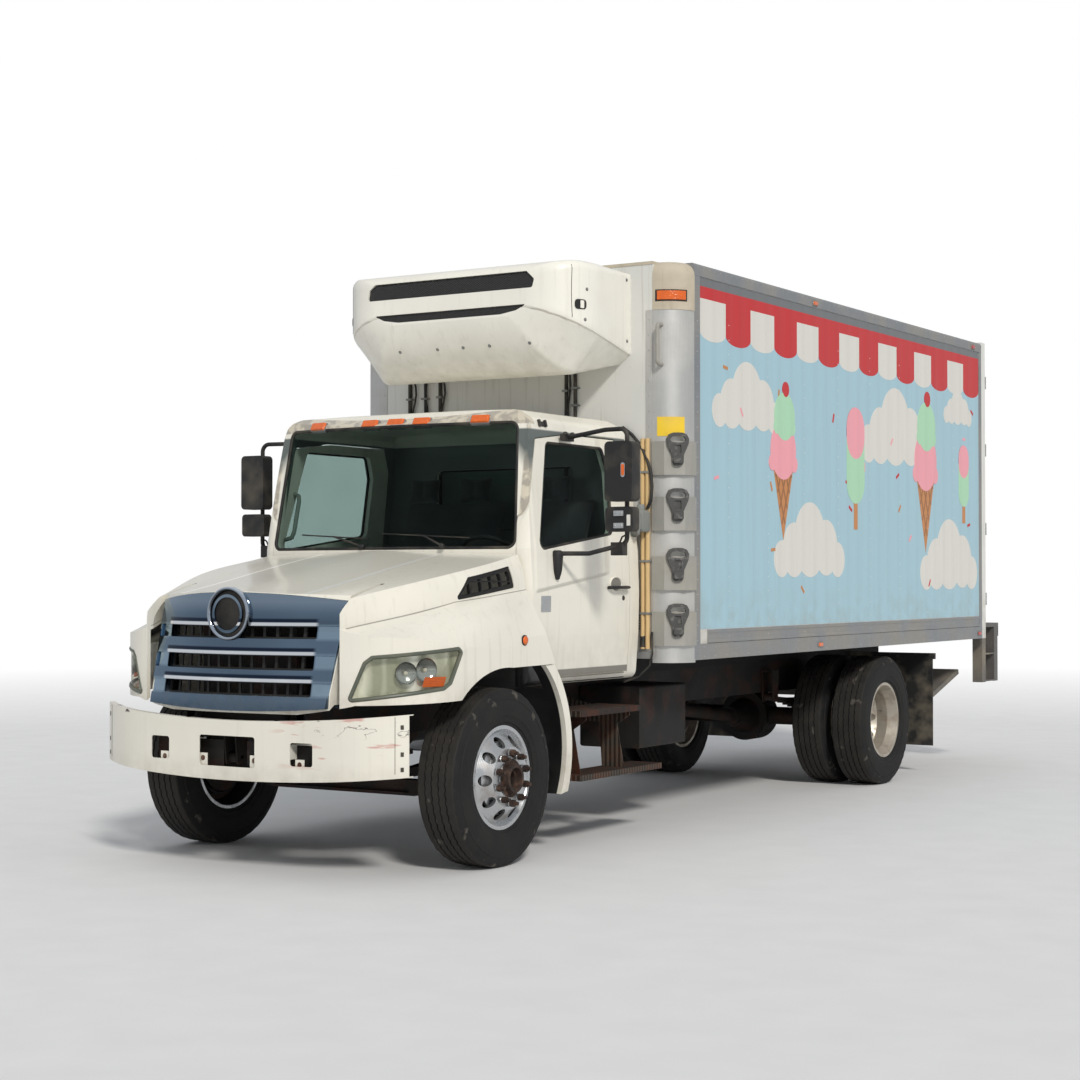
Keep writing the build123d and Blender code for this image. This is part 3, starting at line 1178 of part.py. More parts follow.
def liftgate():
    """Rear deck extension, side posts with steps, and the folded platform under the body."""
    y0 = BOX_REAR_Y
    y1 = LIFT_REAR_Y
    half = 1240
    deck = block(-half, half, y0, y1, 1205, 1240)
    lip = block(-half, half, y1 - 10, y1, 1120, 1240)
    pieces = [deck, lip]
    for side in (-1, 1):
        x0, x1 = sorted((side * (half - 90), side * half))
        pieces.append(block(x0, x1, y0 + 60, y0 + 150, 716, 1205))
        pieces.append(block(x0, x1, y1 - 110, y1 - 20, 716, 1205))
        for z in (720, 960):
            pieces.append(block(x0, x1, y0 + 60, y1 - 20, z, z + 12))
    for x in (-620, 620):
        pieces.append(block(x - 40, x + 40, y0, y1 - 10, 1125, 1205))
    return joined(*pieces)


def platform():
    """The folded platform and its arms under the rear of the frame."""
    outline = [(6700, 610), (7080, 610), (7700, 786), (7688, 828), (7074, 654), (6700, 654)]
    plate = from_side(polygon(outline, 6), -1010, 1010)
    pieces = [plate]
    for x in (-560, 560):
        arm = from_side(polygon([(6900, 650), (7010, 650), (7170, 930), (7060, 930)], 8), x - 25, x + 25)
        x0, x1 = sorted((x, math.copysign(RAIL_OUTER_X, x)))
        pieces += [arm, block(x0, x1, 7070, 7150, 850, 920)]
    return joined(*pieces)


def knuckle():
    """The left steering knuckle: yoke round the beam end, kingpin, spindle and brake shield."""
    gap = 4
    top = AXLE_Z + BEAM_END_HALF + gap
    low = AXLE_Z - BEAM_END_HALF - gap
    x = KINGPIN_X
    pin = Pos(x, 0, AXLE_Z) * Cylinder(22, 2 * (BEAM_END_HALF + gap + 34))
    pieces = [pin]
    for z0, z1 in ((top, top + 34), (low - 34, low)):
        pieces.append(Pos(x, 0, (z0 + z1) / 2) * Cylinder(44, z1 - z0))
        pieces.append(block(x, x + 84, -44, 44, z0, z1))
    pieces.append(block(x + 60, x + 84, -50, 50, low - 34, top + 34))
    pieces.append(rod((x + 70, 0, AXLE_Z), (FRONT_WHEEL_X + DISC_OFFSET - 30, 0, AXLE_Z), SPINDLE_RADIUS))
    pieces.append(rod((x + 84, 0, AXLE_Z), (x + 90, 0, AXLE_Z), DRUM_RADIUS - DRUM_WALL - 8))
    arm = block(x - 30, x + 70, 40, 190, low - 30, low - 6)
    pieces.append(arm)
    return joined(*pieces)


def build():
    os.makedirs("parts", exist_ok=True)

    rail = joined(channel_rail(), hinge_ears(), *cab_mounts())
    save("frame", *both(rail), *crossmembers())
    save("front_bumper", front_bumper())
    save("front_axle", front_axle())
    save("leaf_springs", *springs())
    save("rear_axle", rear_axle())
    save("driveshaft", driveshaft())
    save("engine", *engine())
    save("fuel_tank", *fuel_tank())
    save("battery_box", battery_box())
    save("exhaust", exhaust())
    save("mud_flaps", *mud_flaps())

    shell, windshield, back_light, door, door_glass = cab_parts()
    save("cab_shell", shell)
    save("cab_glass", windshield, back_light)
    save("door_left", door)
    save("door_right", mirrored(door))
    save("door_glass_left", door_glass)
    save("door_glass_right", mirrored(door_glass))
    save("dashboard", dashboard())
    save("steering_wheel", steering_wheel())
    save("seats", *seats())
    save("fender_guards", *fender_guards())
    save("cab_steps", *cab_steps())

    hood, lamp, vent, arms = hood_parts()
    chrome, core = grille_parts(arms)
    save("hood", hood)
    save("grille", chrome)
    save("headlamps", *both(lamp))
    save("black_grilles", core, *both(vent))

    mirror_left = mirror_set() - cab_block(-SEAT_GAP)
    save("mirror_left", mirror_left)
    save("mirror_right", mirrored(mirror_left))

    save("box_floor", *box_floor())
    save("box_front_wall", box_front_wall())
    save("box_sides", *box_sides())
    save("box_roof", box_roof())
    save("box_rails", *box_rails())
    save("corner_posts", *corner_posts())
    save("corner_caps", corner_caps())
    leaf, lugs = rear_doors()
    save("rear_frame", joined(rear_frame(), *both(*lugs)))
    save("rear_door_left", leaf)
    save("rear_door_right", mirrored(leaf))
    unit, grilles = refrigeration_unit()
    save("refrigeration_unit", unit)
    save("unit_grilles", *grilles)
    save("unit_pipes", *unit_pipes())
    save("access_steps", *access_steps())
    save("marker_lamps", *marker_lamps())
    save("liftgate", liftgate())
    save("lift_platform", platform())

    left_knuckle = knuckle()
    save("knuckle_left", left_knuckle)
    save("knuckle_right", mirrored(left_knuckle))
    one_tyre = tyre()
    one_rim = rim()
    front = Pos(FRONT_WHEEL_X, 0, AXLE_Z)
    front_hub = hub(DISC_OFFSET - DISC_THICKNESS, DISC_OFFSET, -38, DISC_OFFSET + 40, -40, 112)
    tyre_left = front * one_tyre
    rim_left = [front * piece for piece in [one_rim] + front_hub]
    save("tyre_front_left", tyre_left)
    save("tyre_front_right", mirrored(tyre_left))
    save("rim_front_left", *rim_left)
    save("rim_front_right", *[mirrored(piece) for piece in rim_left])
    inner = Pos(REAR_TRACK_X - DISC_OFFSET, WHEELBASE, AXLE_Z)
    outer = Pos(REAR_TRACK_X + DISC_OFFSET, WHEELBASE, AXLE_Z)
    middle = Pos(REAR_TRACK_X, WHEELBASE, AXLE_Z)
    rear_hub = hub(-DISC_THICKNESS, DISC_THICKNESS, -200, 120, -245, -95)
    tyres_left = [inner * one_tyre, outer * one_tyre]
    rims_left = [inner * one_rim, outer * mirror(one_rim, Plane.YZ)] + [middle * piece for piece in rear_hub]
    save("tyres_rear_left", *tyres_left)
    save("tyres_rear_right", *[mirrored(piece) for piece in tyres_left])
    save("rims_rear_left", *rims_left)
    save("rims_rear_right", *[mirrored(piece) for piece in rims_left])


build()
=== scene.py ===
"""Dresses the refrigerated box truck: paint, glass, chrome, tyres, trim and the studio round it."""
import math
import random

import bmesh
import bpy
from bpy.props import FloatProperty, FloatVectorProperty, IntProperty, PointerProperty
from bpy.types import Operator, Panel, PropertyGroup
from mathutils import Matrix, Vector
from mathutils.bvhtree import BVHTree


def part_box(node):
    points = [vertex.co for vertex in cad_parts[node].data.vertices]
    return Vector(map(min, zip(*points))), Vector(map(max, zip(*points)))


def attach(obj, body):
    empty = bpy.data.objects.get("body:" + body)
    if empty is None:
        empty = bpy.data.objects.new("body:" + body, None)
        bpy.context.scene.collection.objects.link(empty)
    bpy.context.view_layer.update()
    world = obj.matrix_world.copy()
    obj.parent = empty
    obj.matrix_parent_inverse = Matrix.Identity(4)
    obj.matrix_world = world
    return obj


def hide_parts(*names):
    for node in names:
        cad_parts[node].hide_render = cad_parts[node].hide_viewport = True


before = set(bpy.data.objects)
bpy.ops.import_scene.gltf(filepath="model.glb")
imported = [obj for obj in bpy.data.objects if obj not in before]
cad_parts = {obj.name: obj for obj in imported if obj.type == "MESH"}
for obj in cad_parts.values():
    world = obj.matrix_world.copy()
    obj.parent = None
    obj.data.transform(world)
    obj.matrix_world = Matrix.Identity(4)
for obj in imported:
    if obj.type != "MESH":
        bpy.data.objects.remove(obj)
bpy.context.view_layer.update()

bl_info = {
    "name": "Refrigerated box truck",
    "version": (1, 0, 0),
    "blender": (4, 5, 0),
    "location": "View3D > Sidebar > Truck",
    "description": "Dresses a packed box truck with its finishes, tyres, trim and studio",
    "category": "Object",
}


def middle(node):
    """The middle of a CAD node's box."""
    low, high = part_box(node)
    return (low + high) / 2


FRONT_AXLE = middle("tyre_front_left").y
REAR_AXLE = middle("tyres_rear_left").y
AXLE_Z = middle("tyre_front_left").z
TYRE_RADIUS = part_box("tyre_front_left")[1].z - AXLE_Z
PANEL_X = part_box("box_sides")[1].x
LEFT, RIGHT = 1, -1
SIDES = ((LEFT, "left"), (RIGHT, "right"))
# Axis of the round corner posts, across and back from the front axle
POST_X, POST_STATION = 1.095, 2.045
# Station past which the rear's hinges, lock rods and handles stand proud of its skin
REAR_PROUD = 7.6135
# Where the front valve stems stand on their rims
VALVE_TURN = math.radians(18)
# Height of the bare ring on the grille
RING_Z = 1.454
# The side picture: its front and rear edges, the awning's foot and top, and one sheet's thickness
PICTURE_FRONT, PICTURE_REAR = 2.135, 7.455
AWNING_FOOT, AWNING_TOP = 3.50, 3.580
VINYL = 0.00012


def at(x, station, z):
    """A point whose station is measured back from the front axle, in metres."""
    return Vector((x, station + FRONT_AXLE, z))


def linear(red, green, blue):
    """A colour as seen on a screen, turned into the light values that shaders use."""
    return tuple(c / 12.92 if c <= 0.04045 else ((c + 0.055) / 1.055) ** 2.4
                 for c in (red, green, blue)) + (1.0,)


def shade(colour, factor):
    return tuple(min(c * factor, 1.0) for c in tuple(colour)[:3]) + (1.0,)


DUST = linear(0.56, 0.52, 0.45)
GRIME = linear(0.20, 0.18, 0.16)
RUST = linear(0.34, 0.17, 0.09)
BLACK = linear(0.05, 0.05, 0.055)
# Near-black: the real liner inside the fender guards, and painted shade where the hood faces down.
LINER_AND_SHADE = linear(0.045, 0.045, 0.045)


# Settings that a user would change

def colour_setting(name, description, value):
    return FloatVectorProperty(name=name, description=description, subtype="COLOR", size=4,
                               min=0, max=1, default=value)


def length_setting(name, description, value):
    return FloatProperty(name=name, description=description, default=value, min=0,
                         unit="LENGTH", subtype="DISTANCE")


class TruckColours(PropertyGroup):
    cab: colour_setting("Cab paint", "Warm white of the cab and hood", linear(0.915, 0.90, 0.85))
    body: colour_setting("Body skin", "White sheet of the box body", linear(0.87, 0.87, 0.85))
    unit: colour_setting("Cooling unit", "White plastic of the refrigeration unit", linear(0.93, 0.92, 0.88))
    panel: colour_setting("Side panel", "Pale blue of the side picture", linear(0.63, 0.765, 0.815))
    awning: colour_setting("Awning", "Red of the awning and its scallops", linear(0.76, 0.07, 0.09))
    cloud: colour_setting("Clouds", "Off-white of the paper clouds", linear(0.85, 0.84, 0.81))
    cone: colour_setting("Cones", "Biscuit brown of the cones", linear(0.76, 0.50, 0.27))
    cap: colour_setting("Corner caps", "Aged beige of the corner caps", linear(0.77, 0.73, 0.65))
    amber: colour_setting("Amber lamps", "Orange of the marker lamps", linear(0.90, 0.40, 0.05))
    red: colour_setting("Red lamps", "Red of the rear and side lamps", linear(0.72, 0.07, 0.05))


class TruckSizes(PropertyGroup):
    groove_depth: length_setting("Groove depth", "Depth of the grooves in the tread", 0.013)
    groove_width: length_setting("Groove width", "Width of the grooves in the tread", 0.010)
    tyre_steps: IntProperty(name="Tyre steps", description="Divisions round each tyre", default=120, min=24)
    rivet_radius: length_setting("Rivet radius", "Radius of the body's rivet heads", 0.006)
    rivet_pitch: length_setting("Rivet pitch", "Distance between rivets in a row", 0.1)
    row_pitch: length_setting("Row pitch", "Distance between rivet rows on the sides", 0.61)
    gasket: length_setting("Gasket", "Half width of the rubber round the windows", 0.011)


# Finishes

class Value:
    """A socket of a finish. Arithmetic on it adds the nodes."""

    def __init__(self, finish, socket):
        self.finish = finish
        self.socket = socket

    def maths(self, operation, *others, clamp=False):
        return self.finish.node("ShaderNodeMath", {"operation": operation, "use_clamp": clamp},
                                dict(enumerate(others)))

    def __add__(self, other):
        return self.maths("ADD", self, other)

    def __sub__(self, other):
        return self.maths("SUBTRACT", self, other)

    def __rsub__(self, other):
        return self.maths("SUBTRACT", other, self)

    def __mul__(self, other):
        return self.maths("MULTIPLY", self, other)

    def __pow__(self, other):
        return self.maths("POWER", self, other)

    __radd__ = __add__

    def size(self):
        return self.maths("ABSOLUTE", self)

    def sine(self):
        return self.maths("SINE", self)

    def least(self, other):
        return self.maths("MINIMUM", self, other)

    def over(self, edge, width):
        """0 below edge, rising to 1 over width."""
        return self.maths("MULTIPLY", self - edge, 1 / width, clamp=True)

    def under(self, edge, width):
        """1 below edge, falling to 0 over width."""
        return 1 - self.over(edge, width)

    def near(self, centre, half, width):
        """1 within half of centre, falling to 0 over width."""
        return (self - centre).size().under(half, width)


FINISHES = {}


class Finish:
    """A procedural material built from nodes on one Principled shader."""

    def __init__(self, name):
        FINISHES[name] = self
        self.material = bpy.data.materials.new(name)
        self.material.use_nodes = True
        self.nodes = self.material.node_tree.nodes
        self.links = self.material.node_tree.links
        self.shader = self.nodes["Principled BSDF"]
        self.output = self.nodes["Material Output"]
        place = self.node("ShaderNodeTexCoord", output="Object")
        self.place = place
        self.x, self.y, self.z = (self.node("ShaderNodeSeparateXYZ", values={0: place}, output=i)
                                  for i in range(3))

    def node(self, kind, settings=None, values=None, output=0):
        made = self.nodes.new(kind)
        for key, value in (settings or {}).items():
            if key == "stops":
                ramp = made.color_ramp
                while len(ramp.elements) < len(value):
                    ramp.elements.new(0.5)
                for element, (position, colour) in zip(ramp.elements, value):
                    element.position = position
                    element.color = colour
            else:
                setattr(made, key, value)
        for key, value in (values or {}).items():
            self.feed(made.inputs[key], value)
        return Value(self, made.outputs[output])

    def feed(self, socket, value):
        if isinstance(value, Value):
            self.links.new(value.socket, socket)
        else:
            socket.default_value = value

    def set(self, **values):
        """Sockets of the shader, by name with _ for a space."""
        for key, value in values.items():
            self.feed(self.shader.inputs[key.replace("_", " ")], value)
        return self

    def noise(self, scale, detail=3.0, stretch=(1, 1, 1)):
        place = self.place
        if stretch != (1, 1, 1):
            place = self.node("ShaderNodeVectorMath", {"operation": "MULTIPLY"}, {0: place, 1: stretch})
        return self.node("ShaderNodeTexNoise", {}, {"Vector": place, "Scale": scale, "Detail": detail})

    def cells(self, scale, output="Distance"):
        return self.node("ShaderNodeTexVoronoi", {}, {"Vector": self.place, "Scale": scale}, output)

    def mix(self, first, second, factor):
        return self.node("ShaderNodeMix", {"data_type": "RGBA"}, {0: factor, 6: first, 7: second}, output=2)

    def bump(self, height, distance, strength=1.0):
        values = {"Height": height, "Distance": distance, "Strength": strength}
        normal = self.node("ShaderNodeBump", values=values, output="Normal")
        return self.set(Normal=normal)

    def blend(self, factor, first, second):
        """Shows the first shader where factor is 0 and the second where it is 1."""
        mixed = self.nodes.new("ShaderNodeMixShader")
        self.feed(mixed.inputs[0], factor)
        for index, source in enumerate((first, second)):
            self.links.new(source.outputs[0], mixed.inputs[index + 1])
        self.links.new(mixed.outputs[0], self.output.inputs["Surface"])

    def facing(self, axis):
        """How far the surface faces along the piece's own x, y or z (0, 1 or 2)."""
        normal = self.node("ShaderNodeTexCoord", output="Normal")
        return self.node("ShaderNodeSeparateXYZ", values={0: normal}, output=axis)

    @property
    def station(self):
        """Distance back from the front axle."""
        return self.y - FRONT_AXLE

    @property
    def reach(self):
        """Distance from the middle of the truck."""
        return self.x.size()

    def paint_over(self, colour, mask):
        """Lays a colour over the finish's present one where mask is 1."""
        present = Value(self, self.shader.inputs["Base Color"].links[0].from_socket)
        return self.set(Base_Color=self.mix(present, colour, mask))

    def radius(self, axle_y, axle_z=AXLE_Z):
        """Distance from an axle that lies along x."""
        return ((self.y - axle_y) ** 2 + (self.z - axle_z) ** 2) ** 0.5


def painted(name, colour, roughness=0.30, coat=0.35, grime=(0.9, 1.4), soil=0.5, streak=0.16, ripple=0.0006):
    """Gloss paint that fades in patches, with dust that thickens towards its lower edge."""
    finish = Finish(name)
    low, high = grime
    fade = finish.noise(1.7, 4).over(0.42, 0.3)
    tone = finish.mix(colour, shade(colour, 0.90), fade * 0.7)
    runs = finish.noise(1.0, 5, (26, 26, 1.4)).over(0.56, 0.2)
    tone = finish.mix(tone, DUST, runs * streak)
    splash = finish.z.under(low, high - low) * finish.noise(9, 5).over(0.3, 0.45)
    tone = finish.mix(tone, DUST, splash * soil)
    specks = finish.cells(60).over(0.0, 0.16)
    chips = (1 - specks) * finish.noise(5, 2).over(0.62, 0.05)
    tone = finish.mix(tone, GRIME, chips * 0.5)
    finish.set(Base_Color=tone, Roughness=roughness + splash * 0.35 + fade * 0.08,
               Coat_Weight=coat, Coat_Roughness=0.12)
    peel = finish.noise(420, 1) * 0.04 + finish.noise(2.3, 1)
    return finish.bump(peel, ripple)


def bumper_finish(name, colour):
    """Thick white paint with red scrapes, cracks and small chips down to rusty steel."""
    finish = painted(name, colour, 0.36, 0.2, (0.5, 0.66), 0.5, 0.1)
    left = finish.x.over(0.28, 0.2) * finish.z.over(0.60, 0.06)
    scrape = finish.noise(7, 6, (0.5, 0.5, 3.6)).over(0.60, 0.05) * left
    finish.paint_over(linear(0.72, 0.24, 0.22), scrape * 0.5)
    crack = finish.noise(3.4, 6, (1, 1, 2.2))
    crack = crack.near(0.5, 0.0, 0.006) * finish.x.over(0.5, 0.3) * finish.z.over(0.78, 0.03)
    finish.paint_over(BLACK, crack)
    edge = finish.noise(9, 5).over(0.60, 0.03) * finish.z.over(0.872, 0.010)
    finish.paint_over(linear(0.24, 0.13, 0.10), edge)


def cab_finish(name, colour):
    """Cab paint, with the aged beige strip over the windshield and down its pillars, painted shade that is
    nearly black low under the cab, and a grey cabin.
    """
    finish = painted(name, colour, soil=0.4)
    station = finish.station
    back = station - finish.x * finish.x * 0.115
    header = finish.z.over(2.583, 0.004) * back.under(0.556, 0.006) * finish.reach.under(0.93, 0.02)
    slope = back - (finish.z - 2.2) * 0.16
    pillar = finish.reach.over(0.925, 0.01) * slope.under(0.452, 0.006) * finish.z.under(2.60, 0.01)
    strip = header + pillar * (1 - header)
    worn = finish.noise(14, 6).over(0.45, 0.1)
    finish.paint_over(finish.mix(linear(0.80, 0.76, 0.68), linear(0.60, 0.57, 0.52), worn), strip * 0.85)
    # Painted shade: nearly black below z 1.16, except on the outer sides behind station 0.80.
    shade_below_floor = 1 - finish.reach.over(0.955, 0.01) * station.over(0.80, 0.01)
    finish.paint_over(linear(0.05, 0.05, 0.05), finish.z.under(1.16, 0.01) * shade_below_floor)
    inside = finish.reach.under(0.955, 0.01) * finish.z.under(2.55, 0.01) * station.over(0.53, 0.02)
    finish.paint_over(linear(0.36, 0.39, 0.38), inside * station.under(1.74, 0.01))


def door_finish(name, colour):
    """Cab paint with the pressed crease that climbs the door's skin, painted shade along it, and a grey band
    of painted shadow under the door's bulged lower edge.
    """
    finish = painted(name, colour, soil=0.4)
    line = finish.z - finish.station * 0.127 - 1.503
    ledge = line.over(-0.012, 0.024) * finish.station.over(0.52, 0.03) * finish.station.under(1.36, 0.06)
    # Painted shade along the pressed crease.
    finish.paint_over(shade(colour, 0.72), line.near(-0.004, 0.0, 0.014) * ledge.over(0.0, 0.3) * 0.6)
    # Painted shadow: a grey band under the door's bulged lower edge.
    band = finish.z.near(1.072, 0.018, 0.006)
    finish.paint_over(linear(0.47, 0.455, 0.42), band * finish.reach.over(0.985, 0.005))
    finish.bump(ledge + finish.noise(420, 1) * 0.02, 0.012)


def hood_finish(name, colour):
    """Body paint with a painted highlight along the crease on top and painted shade inside it, the seam over
    each fender, and near-black painted shade where it faces down.
    """
    finish = painted(name, colour, soil=0.5, grime=(0.92, 1.15))
    station = finish.station
    reach = finish.reach
    up = finish.facing(2)
    top = up.over(0.5, 0.2)
    # Painted highlight along the crease on top, and painted shade on the top inside it.
    crease = reach.near(0.452, 0.004, 0.018) * top
    finish.paint_over(linear(1.0, 1.0, 0.99), crease * 0.8)
    finish.paint_over(shade(colour, 0.86), reach.under(0.40, 0.05) * top * 0.5)
    slope = (station + 0.257) * 0.207
    seam = 1.516 + slope.least((station + 0.257) * 0.098)
    line = finish.z.near(seam, 0.0012, 0.0025) * reach.over(0.66, 0.01) * station.over(-0.94, 0.01)
    finish.paint_over(shade(colour, 0.25), line * 0.85)
    # Painted shade: near-black where the hood faces down.
    finish.paint_over(LINER_AND_SHADE, up.under(-0.55, 0.15))
    finish.bump(reach.over(0.44, 0.03) * top + finish.noise(2.3, 1) * 0.05, 0.006)


def guard_finish(name, colour):
    """Fender guard: white outside, black plastic where it faces the tyre."""
    finish = painted(name, colour, 0.42, 0.15, (0.35, 0.9), 0.7, 0.3)
    finish.paint_over(LINER_AND_SHADE, finish.reach.under(1.100, 0.003))


def bowl_finish(name):
    """Reflector of the headlamp: painted reflections in bright and dull patches and one bright upright band,
    under a yellowed haze, glowing faintly though the lamp is off.
    """
    finish = Finish(name)
    # Painted reflections: bright patches between dull ones, and a bright upright band.
    facet_reflections = finish.noise(3, 1, (4, 4, 0.8)).over(0.36, 0.3)
    haze = finish.noise(3, 4).over(0.4, 0.4)
    tone = finish.mix(linear(0.66, 0.67, 0.61), linear(0.95, 0.95, 0.91), facet_reflections)
    bright = finish.station.near(-0.70, 0.010, 0.03)
    tone = finish.mix(tone, linear(1.0, 1.0, 1.0), bright * 0.8)
    # The faint glow carries the painted reflections, though the lamp is off.
    finish.set(Base_Color=finish.mix(tone, linear(0.80, 0.80, 0.70), haze * 0.3),
               Metallic=0.25, Roughness=0.24, Coat_Weight=0.6, Coat_Roughness=0.05,
               Emission_Color=tone, Emission_Strength=0.10)
    finish.bump(facet_reflections + finish.cells(30), 0.004)


def step_finish(name):
    """Folding steps: dull light saddles round the post, and dark cast treads on them."""
    finish = metal(name, linear(0.66, 0.655, 0.63), 0.5, (1, 1, 1), 0.35, 0.25, 0.35)
    proud = (finish.x - POST_X - finish.station + POST_STATION) * 0.7071
    tread = proud.over(0.2285, 0.0008) * finish.z.under(2.9, 0.01)
    scratch = finish.noise(30, 6).over(0.55, 0.1)
    cast = finish.mix(linear(0.30, 0.30, 0.295), linear(0.52, 0.51, 0.50), scratch * 0.5)
    finish.paint_over(cast, tread)


def pipe_finish(name):
    """Black hoses under the unit, and the sun-bleached conduit beside the post."""
    finish = plastic(name, linear(0.085, 0.085, 0.085), 0.6, 90, 0.35)
    finish.paint_over(linear(0.82, 0.70, 0.50), finish.x.over(0.98, 0.002))


def metal(name, colour, roughness=0.35, grain=(1, 60, 1), soil=0.4, spot=0.25, metallic=0.9):
    """Mill-finished or galvanised metal, with grain along one way and dull, dusty patches."""
    finish = Finish(name)
    dull = finish.noise(2.6, 5).over(0.42, 0.25)
    lines = finish.noise(6, 4, grain)
    flakes = finish.cells(24, "Color")
    tone = finish.mix(colour, shade(colour, 0.78), lines)
    tone = finish.mix(tone, finish.mix(shade(colour, 0.9), shade(colour, 1.12), flakes), spot)
    tone = finish.mix(tone, DUST, dull * soil)
    finish.set(Base_Color=tone, Metallic=metallic - dull * 0.45,
               Roughness=roughness + dull * 0.3 + lines * 0.12)
    return finish.bump(lines, 0.0004)


def chrome(name, tone):
    """Polished chrome with a haze, road film low down, and a painted reflection: dark ground where it faces
    down, pale sky where it faces up.
    """
    finish = Finish(name)
    haze = finish.noise(3.2, 5).over(0.5, 0.25)
    film = finish.z.under(0.92, 0.22) * finish.noise(14, 4).over(0.35, 0.4)
    up = finish.facing(2)
    # Painted reflection: the dark ground where it faces down, the pale sky where it faces up.
    colour = finish.mix(shade(tone, 0.10), tone, up.over(-0.25, 0.35))
    colour = finish.mix(colour, linear(0.90, 0.93, 0.96), up.over(0.55, 0.3))
    colour = finish.mix(colour, shade(tone, 0.8), haze * 0.4)
    finish.set(Base_Color=finish.mix(colour, GRIME, film * 0.5), Metallic=1.0 - film * 0.5,
               Roughness=0.06 + haze * 0.10 + film * 0.3)
    return finish.bump(finish.noise(5, 2), 0.0012)


def grille_finish(name, tone):
    """Chrome bars with painted reflection and shade: pale sky at the top, painted shade under it and at the
    foot, and painted shade and a painted highlight at each slot.
    """
    finish = chrome(name, tone)
    reach = finish.reach
    wave = finish.noise(2.2, 3, (1, 1, 7)) * 0.016
    height = finish.z + wave
    # Painted reflection of the sky near the top; painted shade in a band under it and at the foot.
    sky_reflection_top = height.over(1.47, 0.06) * 0.55
    foot = height.under(0.93, 0.06)
    shadow = height.under(1.40, 0.07) * height.over(1.36, 0.01) * 0.8
    finish.paint_over(shade(tone, 0.52), shadow + foot * 0.9)
    finish.paint_over(linear(0.64, 0.70, 0.76), sky_reflection_top)
    # At each slot: painted shade in its gap, a painted highlight along its upper edge, and a paler painted
    # reflection on the side cheeks below.
    for top in (1.388, 1.228, 1.078):
        inside = reach.under(0.525, 0.02)
        gap_shade, lip_highlight, foot = (finish.z.near(top + rise, half, soft) for rise, half, soft in
                          ((0.030, 0.006, 0.008), (0.010, 0.007, 0.004), (-0.035, 0.03, 0.02)))
        finish.paint_over(linear(0.16, 0.20, 0.27), gap_shade * inside)
        finish.paint_over(linear(0.97, 0.98, 0.99), lip_highlight * inside)
        finish.paint_over(linear(0.64, 0.73, 0.80), foot * reach.over(0.53, 0.01) * 0.75)


def plastic(name, colour, roughness=0.55, grain=300, soil=0.25, specular=0.5):
    """Moulded plastic with a fine grain, paler patches and dust."""
    finish = Finish(name)
    dust = finish.noise(6, 5).over(0.45, 0.3)
    tone = finish.mix(finish.mix(colour, shade(colour, 1.5), finish.noise(2.2, 3)), DUST, dust * soil)
    finish.set(Base_Color=tone, Roughness=roughness + dust * 0.2, Specular_IOR_Level=specular)
    return finish.bump(finish.cells(grain), 0.0002, 0.6)


def rubber(name, axle_y):
    """Tyre rubber, grey with road dust on the tread and in rings on the sidewall."""
    finish = Finish(name)
    radius = finish.radius(axle_y)
    worn = radius.over(TYRE_RADIUS - 0.012, 0.008)
    rings = (radius * 420).sine() * 0.5 + 0.5
    dust = finish.noise(7, 6).over(0.40, 0.35)
    tone = finish.mix(linear(0.085, 0.085, 0.09), linear(0.15, 0.147, 0.14), dust)
    tone = finish.mix(tone, linear(0.22, 0.205, 0.185), worn * (0.35 + dust * 0.4))
    scuff = finish.noise(12, 6, (1, 1, 1)).over(0.64, 0.05) * radius.over(0.40, 0.05)
    tone = finish.mix(tone, linear(0.42, 0.40, 0.37), scuff * 0.5)
    finish.set(Base_Color=tone, Roughness=0.72 + dust * 0.2, Specular_IOR_Level=0.35)
    finish.bump(rings * 0.3 + finish.noise(160, 3), 0.0008)


def wheel_finish(name, colour, axle_y, face_x, hub_radius, polished):
    """A disc wheel: bright metal, brown dirt round the holes, rust over the hub and its nuts, and on the
    front wheels painted shade in the holes and deep inside.
    """
    finish = Finish(name)
    radius = finish.radius(axle_y)
    reach = finish.reach
    lines = (radius * 900).sine()
    dirt = finish.noise(11, 6).over(0.46, 0.25)
    rust = finish.noise(20, 5)
    proud = reach.over(face_x, 0.002) * radius.under(0.17, 0.004)
    hub = radius.under(hub_radius, 0.006)
    rusty = (proud + hub).least(1.0)
    holes = radius.near(0.214, 0.026, 0.03) * dirt
    tone = finish.mix(colour, shade(colour, 0.84), finish.noise(4, 4))
    tone = finish.mix(tone, linear(0.42, 0.34, 0.26), dirt * (0.22 if polished else 0.5) + holes * 0.25)
    brown = finish.node("ShaderNodeValToRGB", {"stops": ((0.3, linear(0.10, 0.08, 0.07)),
                                                         (0.55, linear(0.22, 0.15, 0.115)),
                                                         (0.75, linear(0.36, 0.27, 0.21)))}, {0: rust})
    tone = finish.mix(tone, brown, rusty)
    if polished:
        # Painted shade: near-black on the hole walls and deep inside the wheel behind its face.
        wall = finish.facing(0).size().under(0.40, 0.1) * radius.near(0.214, 0.036, 0.004)
        depth = reach.under(face_x - 0.095, 0.02) * radius.under(0.275, 0.005)
        depth = (depth + wall * 0.85).least(1.0)
        tone = finish.mix(tone, linear(0.05, 0.045, 0.04), depth)
        # From here the rust mask also carries this painted shade, which dulls those parts too.
        rusty = (rusty + depth).least(1.0)
    shine = 0.95 if polished else 0.55
    finish.set(Base_Color=tone, Metallic=(1 - rusty) * (shine - dirt * 0.3),
               Roughness=(0.24 if polished else 0.42) + dirt * 0.22 + rusty * 0.45)
    finish.bump(lines * 0.05 + rust * (0.2 + rusty * 2), 0.0012)


